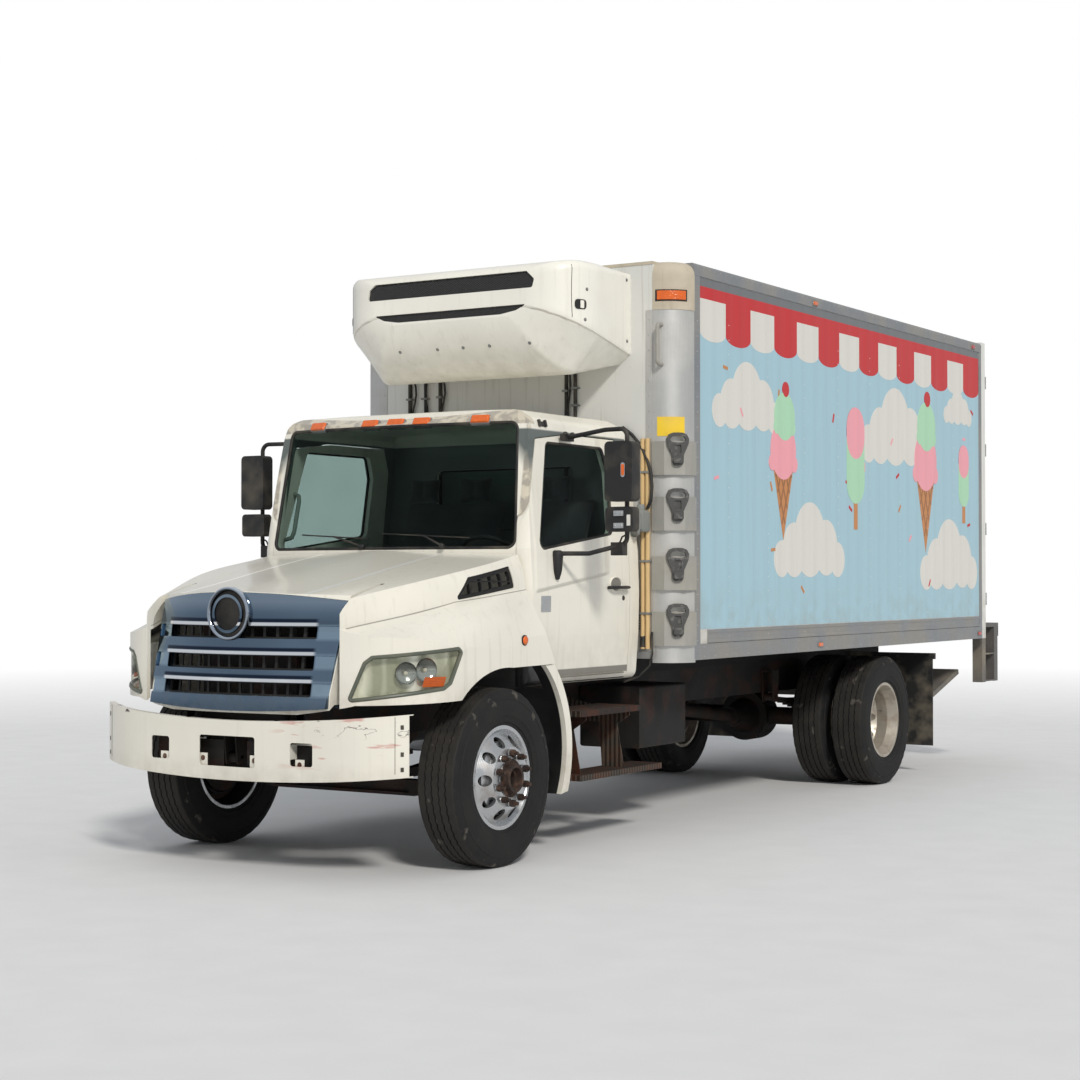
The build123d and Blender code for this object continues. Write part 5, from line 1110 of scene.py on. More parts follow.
class TRUCK_OT_picture(Operator):
    """Lay the printed side picture on both walls: panel, awning, clouds, cones and lollies"""
    bl_idname = "truck.picture"
    bl_label = "Side picture"

    def execute(self, context):
        for side, word in SIDES:
            self.side = side
            self.level = 0.0
            panel = self.band(1.312, AWNING_FOOT)
            make("picture_panel_" + word, panel, "panel_blue", "chassis")
            strip = self.band(AWNING_TOP, 3.638)
            make("picture_strip_" + word, strip, "strip_grey", "chassis")
            self.awning(word)
            self.clouds(word)
            self.treats(word)
        return {"FINISHED"}

    def sheet(self, outline, form):
        """One thin sheet of vinyl; outline is (station, z). Later sheets lie on earlier ones."""
        self.level += VINYL
        x = PANEL_X + 0.0006
        points = [at(self.side * x, station, z) for station, z in outline]
        return form.slab(points, (self.side * self.level, 0, 0))

    def band(self, low, high):
        """A sheet over the picture's whole length, between two heights."""
        corners = ((PICTURE_FRONT, low), (PICTURE_REAR, low), (PICTURE_REAR, high), (PICTURE_FRONT, high))
        return self.sheet(corners, Form())

    def disc(self, station, z, radius, form):
        turns = [math.tau * j / 28 for j in range(28)]
        self.sheet([(station + radius * math.cos(t), z + radius * math.sin(t)) for t in turns], form)

    def awning(self, word):
        """A red band with scallops under it, in red and white by turns."""
        self.level = 0.0006
        red, white = self.band(AWNING_FOOT, AWNING_TOP), Form()
        count = 14
        width = (PICTURE_REAR - PICTURE_FRONT) / count
        for index in range(count):
            left = PICTURE_FRONT + index * width
            turns = [math.pi + math.pi * j / 14 for j in range(15)]
            lobe = [(left + width / 2 + width / 2 * math.cos(t), 3.285 + 0.062 * math.sin(t)) for t in turns]
            self.level = 0.0006 + 0.0003 * (index % 2)
            outline = [(left, AWNING_FOOT)] + lobe + [(left + width, AWNING_FOOT)]
            self.sheet(outline, red if index % 2 else white)
        make("picture_awning_" + word, red, "awning_red", "chassis")
        make("picture_scallops_" + word, white, "cloud_white", "chassis")

    def clouds(self, word):
        """Flat-footed clouds: each at a station, with its foot's height and its size."""
        form = Form()
        lobes = ((-0.46, 0.06, 0.12), (-0.27, 0.12, 0.18), (-0.02, 0.19, 0.25), (0.24, 0.14, 0.19),
                 (0.43, 0.06, 0.12))
        slab = ((-0.52, 0), (0.50, 0), (0.46, 0.10), (-0.50, 0.10))
        for station, foot, size in ((2.86, 2.72, 0.95), (5.55, 2.62, 1.25), (6.95, 3.0, 0.6),
                                    (3.9, 1.72, 1.1), (6.75, 1.62, 1.2)):
            self.level = 0.0009
            self.sheet([(station + across * size, foot + up * size) for across, up in slab], form)
            for across, up, radius in lobes:
                self.disc(station + across * size, foot + up * size, radius * size, form)
        make("picture_clouds_" + word, form, "cloud_white", "chassis")

    def treats(self, word):
        """Cones with two scoops, lollies, and sprinkles between them."""
        cone, lines, pink, mint, red = Form(), Form(), Form(), Form(), Form()
        for station, foot, size in ((3.42, 1.92, 0.78), (6.18, 1.86, 0.92)):
            self.level = 0.0018
            rim, wide = foot + 0.72 * size, 0.23 * size
            self.sheet([(station - wide, rim), (station + wide, rim), (station, foot)], cone)
            self.level += 0.0002
            for j in range(1, 5):
                low, half = foot + 0.72 * size * j / 5, wide * j / 5
                far = half - 0.30 * size * (1 - j / 5)
                for s in (1, -1):
                    self.sheet([(station + s * half, low), (station + s * (half - 0.02), low),
                                (station + s * (far - 0.02), rim), (station + s * far, rim)], lines)
            self.disc(station, foot + 0.82 * size, 0.27 * size, pink)
            for j in range(5):
                self.disc(station + (j - 2) * 0.115 * size, foot + 0.70 * size, 0.075 * size, pink)
            self.disc(station + 0.02, foot + 1.13 * size, 0.22 * size, mint)
            for j in range(4):
                self.disc(station + (j - 1.5) * 0.11 * size + 0.02, foot + 1.03 * size, 0.068 * size, mint)
            self.disc(station + 0.04, foot + 1.38 * size, 0.07 * size, red)
        for station, foot, size in ((4.72, 2.02, 0.86), (7.08, 2.12, 0.62)):
            self.level = 0.0018
            stick = foot + 0.3 * size
            self.sheet([(station - 0.035, foot), (station + 0.035, foot), (station + 0.035, stick),
                        (station - 0.035, stick)], cone)
            for centre, height, form in ((0.66, 0.86, mint), (0.86, 0.46, pink)):
                self.sheet([(station + x * size, foot + (centre + z) * size)
                            for x, z in rectangle_round(0.40, height, 0.19)], form)
        dice = random.Random(11)
        for index in range(20):
            station, z = dice.uniform(2.3, 7.3), dice.uniform(1.45, 3.1)
            turn = dice.uniform(0, math.pi)
            along = Vector((math.cos(turn), math.sin(turn))) * 0.035
            across = Vector((-math.sin(turn), math.cos(turn))) * 0.011
            corners = (along + across, across - along, -along - across, along - across)
            self.level = 0.0015 + 0.00001 * index
            self.sheet([tuple(Vector((station, z)) + corner) for corner in corners],
                       (red, pink, cone)[index % 3])
        for name, form, finish in (("cones", cone, "cone_brown"), ("cone_lines", lines, "cone_dark"),
                                   ("pink_ices", pink, "cream_pink"), ("mint_ices", mint, "cream_mint"),
                                   ("cherries", red, "awning_red")):
            make("picture_" + name + "_" + word, form, finish, "chassis")


class TRUCK_OT_rivets(Operator):
    """Rivet the walls, posts and rails"""
    bl_idname = "truck.rivets"
    bl_label = "Rivets"

    def execute(self, context):
        _, sizes = settings()
        radius, pitch = sizes.rivet_radius, sizes.rivet_pitch
        posts, walls, rails = Form(), Form(), Form()
        count = int((3.36 - 1.22) / pitch)
        for j in range(count + 1):
            z = 1.24 + j * pitch
            posts.dome(at(1.070, 1.841, z), (0, -1, 0), radius, 0.0035)
            posts.dome(at(1.2945, 2.088, z), (1, 0, 0), radius, 0.0035)
            station = 2.56
            while station < 7.40:
                walls.dome(at(PANEL_X + 0.0018, station, z + 0.02), (1, 0, 0), radius * 0.7, 0.0022, 6)
                station += sizes.row_pitch
            for x in (0.31, 0.93):
                walls.dome(at(x, 1.845, z), (0, -1, 0), radius * 0.75, 0.003, 6)
        for j in range(66):
            station = 2.10 + j * 0.082
            rails.dome(at(1.2945, station, 3.695), (1, 0, 0), radius * 0.75, 0.003, 6)
            if j % 2:
                rails.dome(at(1.2945, station, 1.196), (1, 0, 0), radius * 0.75, 0.003, 6)
                rails.dome(at(1.2945, station, 1.134), (1, 0, 0), radius * 0.75, 0.003, 6)
        make("post_rivets", posts.both_sides(), "bright_steel", "chassis")
        make("wall_rivets", walls.both_sides(), "side_white", "chassis")
        make("rail_rivets", rails.both_sides(), "bright_steel", "chassis")
        return {"FINISHED"}


class TRUCK_OT_seals(Operator):
    """Run rubber seals round the windshield, the rear window and the door glasses"""
    bl_idname = "truck.seals"
    bl_label = "Window seals"

    def execute(self, context):
        _, sizes = settings()
        front = rims_of("cab_glass", (0, -1, 0), lambda p: p.y < FRONT_AXLE + 1.2)[0]
        make("windshield_seal", self.seal(front, sizes.gasket, (0, -0.004, 0.001)), "seal_rubber",
             "chassis")
        rear = rims_of("cab_glass", (0, 1, 0), lambda p: p.y > FRONT_AXLE + 1.2)[0]
        make("rear_window_seal", self.seal(rear, sizes.gasket, (0, 0.002, 0)), "seal_rubber",
             "chassis")
        for side, word in SIDES:
            loop = rims_of("door_glass_" + word, (side, 0, 0))[0]
            make("door_seal_" + word, self.seal(loop, sizes.gasket, (side * 0.001, 0, 0)), "seal_rubber",
                 "door_" + word)
        return {"FINISHED"}

    def seal(self, loop, half, push):
        return Form().tube([p + Vector(push) for p in loop], half, 8, closed=True)


class TRUCK_OT_headlamps(Operator):
    """Build each headlamp as a bowl with two reflectors and an indicator behind a hazy lens"""
    bl_idname = "truck.headlamps"
    bl_label = "Headlamps"

    def execute(self, context):
        for side, word in SIDES:
            outward = Vector((side, -1, 0)).normalized()
            copy = node_mesh("headlamps")
            far = [f for f in copy.faces if f.calc_center_median().x * side < 0]
            bmesh.ops.delete(copy, geom=far, context="FACES")
            lens_form, bowl = Form(), Form()
            for form, outer in ((lens_form, True), (bowl, False)):
                for face in copy.faces:
                    if (face.normal.dot(outward) > 0.5) == outer:
                        form.add([v.co for v in face.verts], [tuple(range(len(face.verts)))])
            rim = rims_of("headlamps", outward, lambda p: p.x * side > 0)[0]
            copy.free()
            make("headlamp_bowl_" + word, bowl, "lamp_bowl", "hood", ("headlamps",))
            make("headlamp_lens_" + word, lens_form, "lamp_glass", "hood")
            bezel = Form().tube(rim, 0.012, 8, closed=True)
            make("headlamp_bezel_" + word, bezel, "bezel_grey", "hood")
            self.inside(side, word)
        return {"FINISHED"}

    def inside(self, side, word):
        reflectors, bulbs, amber = Form(), Form(), Form()
        for station, z, radius in ((-0.765, 1.135, 0.062), (-0.60, 1.150, 0.066)):
            point, normal = touch("headlamps", at(side * 2, station - 1.0, z), (-side, 1, 0))
            start = point - normal * 0.006
            dish = ((0.0, 1.0), (-0.004, 0.97), (-0.012, 0.80), (-0.020, 0.5), (-0.024, 0.16))
            reflectors.lathe(start, normal, [(along, radius * part) for along, part in dish], 28)
            bulb = [(-0.023, 0.011), (-0.010, 0.011), (-0.006, 0.006), (-0.005, 0.001)]
            bulbs.lathe(start, normal, bulb, 12)
        for j in range(6):
            z = 1.062 + 0.009 * j
            path = []
            for k in range(7):
                station = -1.585 + 0.030 * k - 0.05 + 0.004 * j
                point, normal = touch("headlamps", at(side * 2, station, z), (-side, 1, 0))
                path.append(point - normal * 0.005)
            amber.tube(path, 0.0050, 6)
        make("headlamp_reflectors_" + word, reflectors, "mirror_silver", "hood")
        make("headlamp_bulbs_" + word, bulbs, "cloud_white", "hood")
        make("headlamp_indicator_" + word, amber, "amber_lens", "hood")


class TRUCK_OT_mirrors(Operator):
    """Set the mirror glasses in their housings"""
    bl_idname = "truck.mirrors"
    bl_label = "Mirror glasses"

    def execute(self, context):
        for side, word in SIDES:
            form = Form()
            for z, height, depth in ((2.293, 0.335, 0.919), (2.005, 0.122, 0.909)):
                outline = [at(side * (1.42 + x), depth - 0.003, z + up)
                           for x, up in rectangle_round(0.164, height, 0.03)]
                form.slab(outline, (0, 0.0045, 0))
            make("mirror_glass_" + word, form, "mirror_silver", "door_" + word, bevel=0.001)
        return {"FINISHED"}


class TRUCK_OT_seats(Operator):
    """Replace the plain seats with padded cushions, backs and headrests with sewn channels"""
    bl_idname = "truck.seats"
    bl_label = "Seats"

    def execute(self, context):
        for name, x0, x1 in (("driver", 0.230, 0.730), ("bench", -0.760, 0.060)):
            run, rise = Vector((0, 0.48, 0)), Vector((0, 0, 0.12))
            base = self.pad([at(x0, 1.08, 1.45), at(x1, 1.08, 1.45)], run, rise)
            piece = make(name + "_cushion", base, "seat_cloth", "chassis", ("seats",),
                         smooth=60, subdivide=1)
            up = Vector((0, 0.19, 0.58))
            back = self.pad([at(x0, 1.585, 1.572), at(x1, 1.585, 1.572)], up, Vector((0, -0.10, 0.033)))
            piece = make(name + "_back", back, "seat_cloth", "chassis", smooth=60, subdivide=1)
            for centre in ((x0 + x1) / 2,) if name == "driver" else (x0 + 0.2, x1 - 0.2):
                rest = self.pad([at(centre - 0.125, 1.645, 2.155), at(centre + 0.125, 1.645, 2.155)],
                                Vector((0, 0.02, 0.165)), Vector((0, -0.07, 0.01)), 2)
                piece = make(f"{name}_headrest_{round(centre * 100)}".replace("-", "r"), rest, "seat_cloth",
                             "chassis", smooth=60, subdivide=1)
        pedestal = Form()
        for x0, x1 in ((0.27, 0.69), (-0.72, 0.02)):
            pedestal.box(at(x0, 1.12, 1.082), at(x1, 1.52, 1.445))
        make("seat_pedestals", pedestal, "dash_plastic", "chassis", bevel=0.02)
        return {"FINISHED"}

    def pad(self, feet, run, rise, channels=3):
        """A crowned cushion: feet are its lower corners, run its long way, rise its thickness."""
        across = feet[1] - feet[0]
        columns = rows = 12
        top, bottom = [], []
        for i in range(rows + 1):
            v = i / rows
            for j in range(columns + 1):
                u = j / columns
                edge = (1 - (2 * u - 1) ** 6) * (1 - (2 * v - 1) ** 6)
                pull = 0.012 * (abs(2 * v - 1) ** 2 - 1) * (2 * u - 1)
                waist = 0.012 * (abs(2 * u - 1) ** 2 - 1) * (2 * v - 1)
                seam = 0.10 * max(0.0, 1 - abs((u * channels) % 1.0) * 10) if 0 < u < 1 else 0
                place = feet[0] + across * u + run * v
                place += across.normalized() * pull + run.normalized() * waist
                top.append(place + rise * (0.55 + 0.45 * edge - seam))
                bottom.append(place + rise * (0.5 - 0.5 * min(edge * 1.5, 1.0)))
        width = columns + 1
        grid = [(i * width + j, i * width + j + 1, (i + 1) * width + j + 1, (i + 1) * width + j)
                for i in range(rows) for j in range(columns)]
        count = width * (rows + 1)
        underneath = [tuple(count + k for k in reversed(face)) for face in grid]
        form = Form().add(top + bottom, grid + underneath)
        ring = (list(range(width)) + [i * width + columns for i in range(1, rows + 1)]
                + [rows * width + j for j in range(columns - 1, -1, -1)]
                + [i * width for i in range(rows - 1, 0, -1)])
        form.faces += [(a, count + a, count + b, b) for a, b in zip(ring, ring[1:] + ring[:1])]
        return form


class TRUCK_OT_lamps(Operator):
    """Set the roof, cap, side and rear lamps, each a base with a ribbed lens"""
    bl_idname = "truck.lamps"
    bl_label = "Lamps"

    def execute(self, context):
        bases, amber, red = Form(), Form(), Form()
        for x in (-0.622, -0.198, 0.0, 0.198, 0.622):
            point = touch_front("cab_shell", x, 2.618)[0]
            lean = Vector((0.2 * x, -0.86, 0.50)).normalized()
            bases.plate(point - lean * 0.030, lean, 0.132, 0.058, 0.032, 0.006)
            amber.plate(point - lean * 0.014, lean, 0.124, 0.052, 0.030, 0.008, 0.88)
        for side in (LEFT, RIGHT):
            for j, (station, z) in enumerate(((3.96, 3.67), (4.04, 1.159), (7.30, 3.67), (7.44, 1.159))):
                point, normal = touch_side("box_rails", side, station, z)
                bases.plate(point, normal, 0.092, 0.040, 0.006, 0.006)
                (amber if j < 2 else red).plate(point, normal, 0.074, 0.028, 0.012, 0.008, 0.85)
        for x, z in ((-0.16, 3.64), (0.0, 3.64), (0.16, 3.64)):
            point, normal = touch_rear(x, z)
            bases.plate(point, normal, 0.110, 0.046, 0.006, 0.008)
            red.plate(point, normal, 0.094, 0.032, 0.014, 0.010, 0.85)
        for x, z in ((1.235, 3.56), (-1.235, 3.56)):
            point, normal = touch_rear(x, z)
            bases.plate(point, normal, 0.046, 0.092, 0.006, 0.008)
            red.plate(point, normal, 0.032, 0.074, 0.014, 0.010, 0.85)
        make("lamp_bases", bases, "box_grey", "chassis")
        make("amber_lamps", amber, "amber_lens", "chassis", ("marker_lamps",), bevel=0.002)
        make("red_lamps", red, "red_lens", "chassis", bevel=0.002)
        caps, lenses = Form(), Form()
        caps.round_post(0.2035, -84, -23, 3.455, 3.530, 0.004)
        lenses.round_post(0.2075, -80, -27, 3.463, 3.522, 0.009)
        make("cap_lamp_bases", caps.both_sides(), "black_plastic", "chassis")
        make("cap_lamps", lenses.both_sides(), "amber_lens", "chassis", bevel=0.003)
        self.fender_lamps()
        self.tail_lamps()
        return {"FINISHED"}

    def fender_lamps(self):
        for side, word in SIDES:
            point, normal = touch_side("hood", side, 0.214, 1.290)
            ring = Form().lathe(point, normal, [(-0.002, 0.031), (0.004, 0.031), (0.006, 0.027)], 24, True)
            profile = [(0.0, 0.026), (0.008, 0.0255), (0.014, 0.021), (0.017, 0.012), (0.018, 0.003)]
            dome = Form().lathe(point, normal, profile, 24, True)
            make("fender_lamp_ring_" + word, ring, "seal_rubber", "hood")
            make("fender_lamp_" + word, dome, "amber_lens", "hood")

    def tail_lamps(self):
        """Stop, turn and reversing lamps in a row on each rear post's foot, with a rubber surround."""
        surround, red, clear = Form(), Form(), Form()
        bezel = [(-0.002, 0.040), (0.006, 0.040), (0.009, 0.036), (0.007, 0.031)]
        dome = [(0.001, 0.033), (0.006, 0.032), (0.011, 0.026), (0.013, 0.014), (0.0135, 0.003)]
        for side in (LEFT, RIGHT):
            for j, z in enumerate((1.61, 1.72, 1.83)):
                point, normal = touch_rear(side * 1.248, z)
                surround.lathe(point, normal, bezel, 28)
                (red if j else clear).lathe(point, normal, dome, 28, True)
        make("tail_lamp_surrounds", surround, "seal_rubber", "chassis")
        make("tail_lamps", red, "red_lens", "chassis")
        make("reversing_lamps", clear, "cloud_white", "chassis")


class TRUCK_OT_cab_trim(Operator):
    """Fit door handles and locks, a grey strip of painted shadow under each door, roof brackets, wipers and
    cabin grab handles
    """
    bl_idname = "truck.cab_trim"
    bl_label = "Cab trim"

    def execute(self, context):
        for side, word in SIDES:
            door = "door_" + word
            black, pale, dark = Form(), Form(), Form()
            spot, normal = touch_side(door, side, 1.485, 1.612)
            u, v, n = Vector((0, 1, 0)), Vector((0, 0, 1)), normal
            oval = [spot + u * 0.072 * math.cos(t) + v * 0.046 * math.sin(t) + n * 0.003
                    for t in (math.tau * j / 28 for j in range(28))]
            pale.tube(oval, 0.006, 8, closed=True)
            dark.slab([p - n * 0.003 for p in oval], n * 0.002)
            grip = ((-0.098, 0.002), (-0.092, 0.024), (-0.070, 0.032), (0.0, 0.034), (0.100, 0.032),
                    (0.128, 0.022), (0.134, 0.002))
            bar = [spot + u * along - v * 0.022 + n * out for along, out in grip]
            black.tube(bar, 0.017, 12, flat=0.6)
            lock, normal = touch_side(door, side, 1.585, 1.523)
            black.lathe(lock, normal, [(-0.002, 0.016), (0.003, 0.016), (0.005, 0.012)], 20, True)
            make("handle_" + word, black, "black_plastic", door, bevel=0.002)
            make("handle_cup_rim_" + word, pale, "door_paint", door)
            make("handle_cup_" + word, dark, "mould_grey", door)
            self.shadow_strip_and_plate(side, word, door)
            self.roof_bracket(side, word)
        self.wipers()
        return {"FINISHED"}

    def shadow_strip_and_plate(self, side, word, door):
        line, plate = Form(), Form()
        # Painted shadow: a flat grey strip along the door's foot stands for the shadow under its bulged
        # lower edge.
        points = [touch_side(door, side, 0.84 + 0.096 * j, 1.046)[0] for j in range(9)]
        line.tube(points, 0.019, 8, flat=0.25)
        make("door_moulding_" + word, line, "mould_grey", door)
        spot, normal = touch_side(door, side, 0.644, 1.495)
        plate.plate(spot, normal, 0.112, 0.098, 0.0012, 0.003)
        make("blank_plate_" + word, plate, "bright_steel", door)

    def roof_bracket(self, side, word):
        form = Form()
        spot, normal = touch_side("cab_shell", side, 0.74, 2.590)
        form.plate(spot, normal, 0.078, 0.030, 0.008, 0.004)
        for shift in (-0.034, 0.034):
            form.plate(spot + Vector((0, shift, 0.003)), normal, 0.016, 0.044, 0.016, 0.003)
        make("roof_bracket_" + word, form, "black_plastic", "chassis", bevel=0.002)
        bolts = Form()
        for station in (0.918, 1.002):
            spot, normal = touch("mirror_" + word, at(side * 0.99, station, 3.016), (0, 0, -1))
            bolts.dome(spot, normal, 0.018, 0.016, 12)
        make("mirror_foot_bolts_" + word, bolts, "black_plastic", "door_" + word)
        grab = Form()
        grab.tube([at(side * x, station, z) for x, station, z in
                   ((0.935, 0.58, 1.900), (0.872, 0.565, 1.912), (0.856, 0.57, 1.950), (0.856, 0.62, 2.150),
                    (0.872, 0.635, 2.185), (0.930, 0.66, 2.200))], 0.014, 10)
        make("pillar_handle_" + word, grab, "cabin_grey", "chassis")

    def wipers(self):
        arms, blades = Form(), Form()
        for pivot, foot, tip in ((-0.14, -0.66, -0.10), (0.46, 0.00, 0.62)):
            blade = []
            for j in range(9):
                x = foot + (tip - foot) * j / 8
                z = 1.892 + 0.030 * (1 - j / 8)
                point, normal = touch_front("cab_glass", x, z)
                blade.append(point + normal * 0.014)
            blades.tube(blade, 0.008, 6, flat=0.6)
            root, joint = at(pivot, 0.352, 1.846), blade[4]
            elbow = (root + joint) / 2 + Vector((0, -0.012, 0.004))
            arms.tube([root, elbow, joint + normal * 0.004], 0.0065, 8)
            arms.lathe(root, (0, -0.9, 0.3), [(-0.012, 0.015), (0.010, 0.015), (0.014, 0.011)], 14, True)
        make("wiper_arms", arms, "black_plastic", "chassis")
        make("wiper_blades", blades, "seal_rubber", "chassis")


class TRUCK_OT_mirror_fittings(Operator):
    """Add the lamps, clamps and feet of the side mirrors"""
    bl_idname = "truck.mirror_fittings"
    bl_label = "Mirror fittings"

    def execute(self, context):
        for side, word in SIDES:
            door = "door_" + word
            rim, amber, silver, pale, black = Form(), Form(), Form(), Form(), Form()
            spot, normal = touch_front("mirror_" + word, side * 1.455, 2.300)
            rim.plate(spot, normal, 0.028, 0.088, 0.006, 0.013)
            amber.plate(spot, normal, 0.020, 0.070, 0.012, 0.009, 0.8)
            for z in (2.040, 1.966):
                spot, normal = touch_front("mirror_" + word, side * 1.420, z)
                silver.plate(spot, normal, 0.066, 0.032, 0.010, 0.004)
                for shift in (-0.022, 0.022):
                    silver.hexagon(spot + Vector((shift, -0.010, 0)), normal, 0.006, 0.006)
            spot, normal = touch_front("mirror_" + word, side * 1.487, 1.998)
            pale.plate(spot, normal, 0.024, 0.066, 0.003, 0.003)
            black.box(at(side * 1.366 - 0.042, 0.895, 1.788), at(side * 1.366 + 0.042, 0.955, 1.868))
            cable = ((1.366, 1.86), (1.385, 1.90), (1.418, 1.915))
            black.tube([at(side * x, 0.93, z) for x, z in cable], 0.006, 8)
            foot = at(side * 1.026, 0.765, 0)
            black.lathe(foot, (0, 0, 1), [(1.640, 0.006), (1.645, 0.014), (1.675, 0.024), (1.700, 0.030),
                                          (1.790, 0.037), (1.812, 0.034), (1.820, 0.022)], 20, True)
            if side == LEFT:
                make("mirror_lamp_rim", rim, "mirror_silver", door)
                make("mirror_lamp", amber, "amber_lens", door)
                make("mirror_clamps", silver, "bright_steel", door, bevel=0.001)
                make("mirror_mark", pale, "cloud_white", door)
            make("mirror_boxes_" + word, black, "black_plastic", door, bevel=0.004)
        return {"FINISHED"}


class TRUCK_OT_front_wall(Operator):
    """Run the hoses, conduits, socket, vent slats and blank plates on the body's front"""
    bl_idname = "truck.front_wall"
    bl_label = "Front wall fittings"

    def execute(self, context):
        yellow = Form().round_post(0.2012, -81, -28, 2.574, 2.700, 0.0012)
        make("post_plate", yellow, "yellow_plate", "chassis")
        slats = Form()
        for j in range(7):
            z = 1.318 + 0.017 * j
            slats.box(at(0.975, 1.838, z), at(1.052, 1.846, z + 0.005))
        make("vent_slats", slats, "mould_grey", "chassis", bevel=0.001)
        rail = Form().box(at(0.25, 1.800, 3.020), at(0.60, 1.844, 3.046))
        make("drip_rail", rail, "unit_white", "chassis", bevel=0.004)
        self.cables()
        self.socket()
        return {"FINISHED"}

    def cables(self):
        black = Form()
        upper = ((0.880, 1.824, 2.640), (0.950, 1.824, 2.590), (1.010, 1.822, 2.525),
                 (1.060, 1.818, 2.440), (1.098, 1.812, 2.340), (1.110, 1.806, 2.240),
                 (1.104, 1.800, 2.150), (1.080, 1.796, 2.100))
        black.tube([at(*point) for point in upper], 0.011, 10)
        for x, sway in ((-0.800, 0.018), (-0.690, -0.012), (-0.555, 0.020), (0.470, 0.010)):
            path = [at(x + sway * math.sin(j * 0.9), 1.826, 3.04 - 0.055 * j) for j in range(9)]
            black.tube(path, 0.007, 8)
        lower = ((1.100, 1.820, 1.30), (1.104, 1.820, 1.16), (1.085, 1.815, 1.08), (1.02, 1.79, 1.01),
                 (0.93, 1.75, 0.975))
        black.tube([at(*point) for point in lower], 0.007, 8)
        make("wall_cables", black, "seal_rubber", "chassis")
        clips = Form()
        conduits = tuple((x, z) for z in (1.42, 1.76, 2.34) for x in (1.030, 1.066))
        for x, z in ((-0.837, 2.90), (-0.709, 2.90), (-0.581, 2.905), (0.443, 2.90), (0.513, 2.915),
                     (0.513, 2.80)) + conduits:
            clips.box(at(x - 0.020, 1.806, z - 0.007), at(x + 0.020, 1.845, z + 0.007))
            clips.dome(at(x + 0.028, 1.844, z), (0, -1, 0), 0.006, 0.004)
        make("hose_clips", clips, "box_grey", "chassis", bevel=0.002)
        profile = [(1.20, 0.019), (1.27, 0.019), (1.275, 0.016)]
        sleeve = Form().lathe(at(1.030, 1.829, 0), (0, 0, 1), profile, 14, True)
        make("conduit_sleeve", sleeve, "seal_rubber", "chassis")

    def socket(self):
        """Grey power socket: a cap, a tapered box and a hood that opens forward and down."""
        form = Form()
        inner, outer, front, back = 1.000, 1.092, 1.715, 1.812
        sections = ((1.950, -0.006, 0.012), (1.965, 0.0, 0.0), (2.070, 0.0, 0.0), (2.092, -0.010, 0.02))
        form.loft([[at(x, station, z) for x, station in ((inner - wider, front + set_back),
                                                         (outer + wider, front + set_back),
                                                         (outer + wider, back), (inner - wider, back))]
                   for z, wider, set_back in sections])
        cap = [(0, 0.026), (0.034, 0.026), (0.040, 0.022)]
        form.lathe(at(1.050, 1.765, 2.088), (0, 0, 1), cap, 20, True)
        opening = (-0.25, -0.75, -0.55)
        hood = [(0, 0.040), (0.035, 0.043), (0.040, 0.050), (0.062, 0.050), (0.064, 0.046), (0.030, 0.040)]
        form.lathe(at(1.040, 1.742, 1.990), opening, hood, 28)
        form.lathe(at(1.030, 1.719, 1.972), opening, [(0.018, 0.047), (0.022, 0.047)], 28, True)
        make("wall_socket", form, "socket_grey", "chassis", bevel=0.003, smooth=50)


class TRUCK_OT_unit_fittings(Operator):
    """Add the cooling unit's latches, screws and panel joints"""
    bl_idname = "truck.unit_fittings"
    bl_label = "Unit fittings"

    def execute(self, context):
        screws, joints, latch, grip = Form(), Form(), Form(), Form()
        for side in (LEFT, RIGHT):
            for station, z in ((1.311, 3.484), (1.297, 3.290), (1.791, 3.601), (1.796, 3.200)):
                spot, normal = touch_side("refrigeration_unit", side, station, z)
                screws.hexagon(spot, normal, 0.008, 0.006)
            path = []
            for j in range(14):
                t = j / 13
                station, z = 1.205 + 0.02 * (t - 0.5) ** 2, 3.300 + 0.335 * t
                spot, normal = touch_side("refrigeration_unit", side, station, z)
                path.append(spot + normal * 0.0002)
            joints.tube(path, 0.0022, 6)
            spot, normal = touch_side("refrigeration_unit", side, 1.262, 3.385)
            latch.plate(spot, normal, 0.088, 0.062, 0.004, 0.022)
            grip.plate(spot + normal * 0.004 + Vector((0, 0.012, 0)), normal, 0.030, 0.050, 0.006, 0.006)
        for x in (-0.440, -0.138, 0.065, 0.270, 0.575):
            spot, normal = touch_front("refrigeration_unit", x, 3.148)
            screws.hexagon(spot, normal, 0.008, 0.006)
        make("unit_screws", screws, "box_grey", "chassis")
        make("unit_joints", joints, "seal_rubber", "chassis")
        make("unit_latches", latch, "black_plastic", "chassis")
        make("unit_latch_grips", grip, "unit_white", "chassis", bevel=0.002)
        return {"FINISHED"}


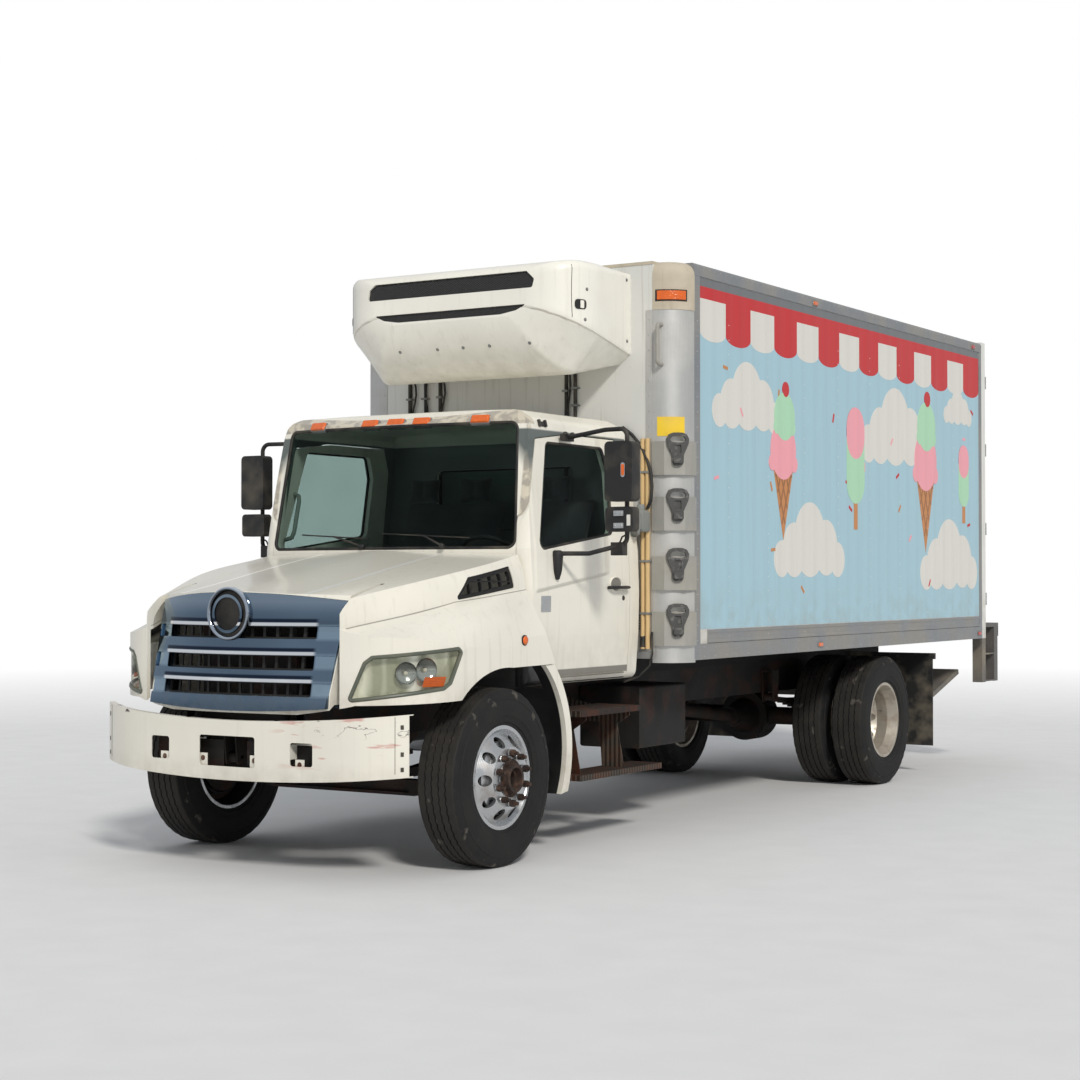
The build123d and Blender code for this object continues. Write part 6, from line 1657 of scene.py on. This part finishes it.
class TRUCK_OT_nose(Operator):
    """Fit the grille's bare ring, and the bumper's bolts, tabs and stays"""
    bl_idname = "truck.nose"
    bl_label = "Nose fittings"

    def execute(self, context):
        ring, dish = Form(), Form()
        centre, n = at(0, -1.060, RING_Z), (0, -1, 0)
        ring.lathe(centre, n, [(-0.008, 0.150), (0.014, 0.150), (0.020, 0.146), (0.0215, 0.140),
                               (0.020, 0.134), (0.012, 0.128), (0.004, 0.126)], 56)
        dish.lathe(centre, n, [(0.004, 0.127), (0.008, 0.109)], 56)
        dish.lathe(centre, n, [(0.010, 0.0915), (0.0075, 0.080), (0.006, 0.04), (0.006, 0.002)], 56)
        make("grille_ring", ring, "ring_chrome", "hood")
        make("grille_ring_dish", dish, "ring_dark", "hood")
        bolts, holes, tab, back = Form(), Form(), Form(), Form()
        for side in (LEFT, RIGHT):
            # Painted shade: thin dark plates stand for the small holes near each end of the bumper, with a
            # dark seam line running up beside them.
            for z in (0.851, 0.706, 0.624):
                spot, normal = touch_front("front_bumper", side * 1.062, z, -3.0)
                holes.plate(spot, normal, 0.018, 0.024, 0.0012, 0.002)
            path = [touch_front("front_bumper", side * 1.030, 0.60 + 0.034 * j, -3.0)[0] for j in range(10)]
            holes.tube(path, 0.0016, 6)
        for x, z in ((-0.487, 0.640), (-0.185, 0.645), (0.185, 0.645), (0.490, 0.635)):
            face = touch_front("front_bumper", x, 0.83, -3.0)[0]
            tab.box((x - 0.030, face.y + 0.016, z - 0.055), (x + 0.030, face.y + 0.021, z + 0.028))
            bolts.hexagon((x, face.y + 0.016, z), (0, -1, 0), 0.010, 0.010)
            back.box((x - 0.10, face.y + 0.075, z - 0.08), (x + 0.10, face.y + 0.080, z + 0.10))
        make("bumper_holes", holes, "seal_rubber", "chassis")
        make("bumper_bolts", bolts, "rust_bolt", "chassis")
        make("bumper_stays", back, "chassis_black", "chassis", bevel=0.001)
        make("bumper_tabs", tab, "bumper_paint", "chassis")
        return {"FINISHED"}


CLASSES = (TruckColours, TruckSizes, TRUCK_OT_finishes, TRUCK_OT_tyres, TRUCK_OT_wheels,
           TRUCK_OT_picture, TRUCK_OT_rivets, TRUCK_OT_seals, TRUCK_OT_headlamps, TRUCK_OT_mirrors,
           TRUCK_OT_seats, TRUCK_OT_lamps, TRUCK_OT_cab_trim, TRUCK_OT_mirror_fittings,
           TRUCK_OT_front_wall, TRUCK_OT_unit_fittings, TRUCK_OT_nose, TRUCK_OT_stage)
STEPS = tuple(c for c in CLASSES if issubclass(c, Operator))


class TRUCK_PT_sidebar(Panel):
    """Lists the truck's pieces and their settings"""
    bl_label = "Box truck"
    bl_idname = "TRUCK_PT_sidebar"
    bl_space_type = "VIEW_3D"
    bl_region_type = "UI"
    bl_category = "Truck"

    def draw(self, context):
        colours, sizes = settings()
        for group in (colours, sizes):
            for key in group.__annotations__:
                self.layout.prop(group, key)
        for step in STEPS:
            self.layout.operator(step.bl_idname)


def register():
    for cls in CLASSES + (TRUCK_PT_sidebar,):
        bpy.utils.register_class(cls)
    bpy.types.Scene.truck_colours = PointerProperty(type=TruckColours)
    bpy.types.Scene.truck_sizes = PointerProperty(type=TruckSizes)


def unregister():
    del bpy.types.Scene.truck_sizes
    del bpy.types.Scene.truck_colours
    for cls in reversed(CLASSES + (TRUCK_PT_sidebar,)):
        bpy.utils.unregister_class(cls)


def main():
    register()
    for step in STEPS:
        getattr(bpy.ops.truck, step.bl_idname.split(".")[1])()


if __name__ == "__main__":
    main()
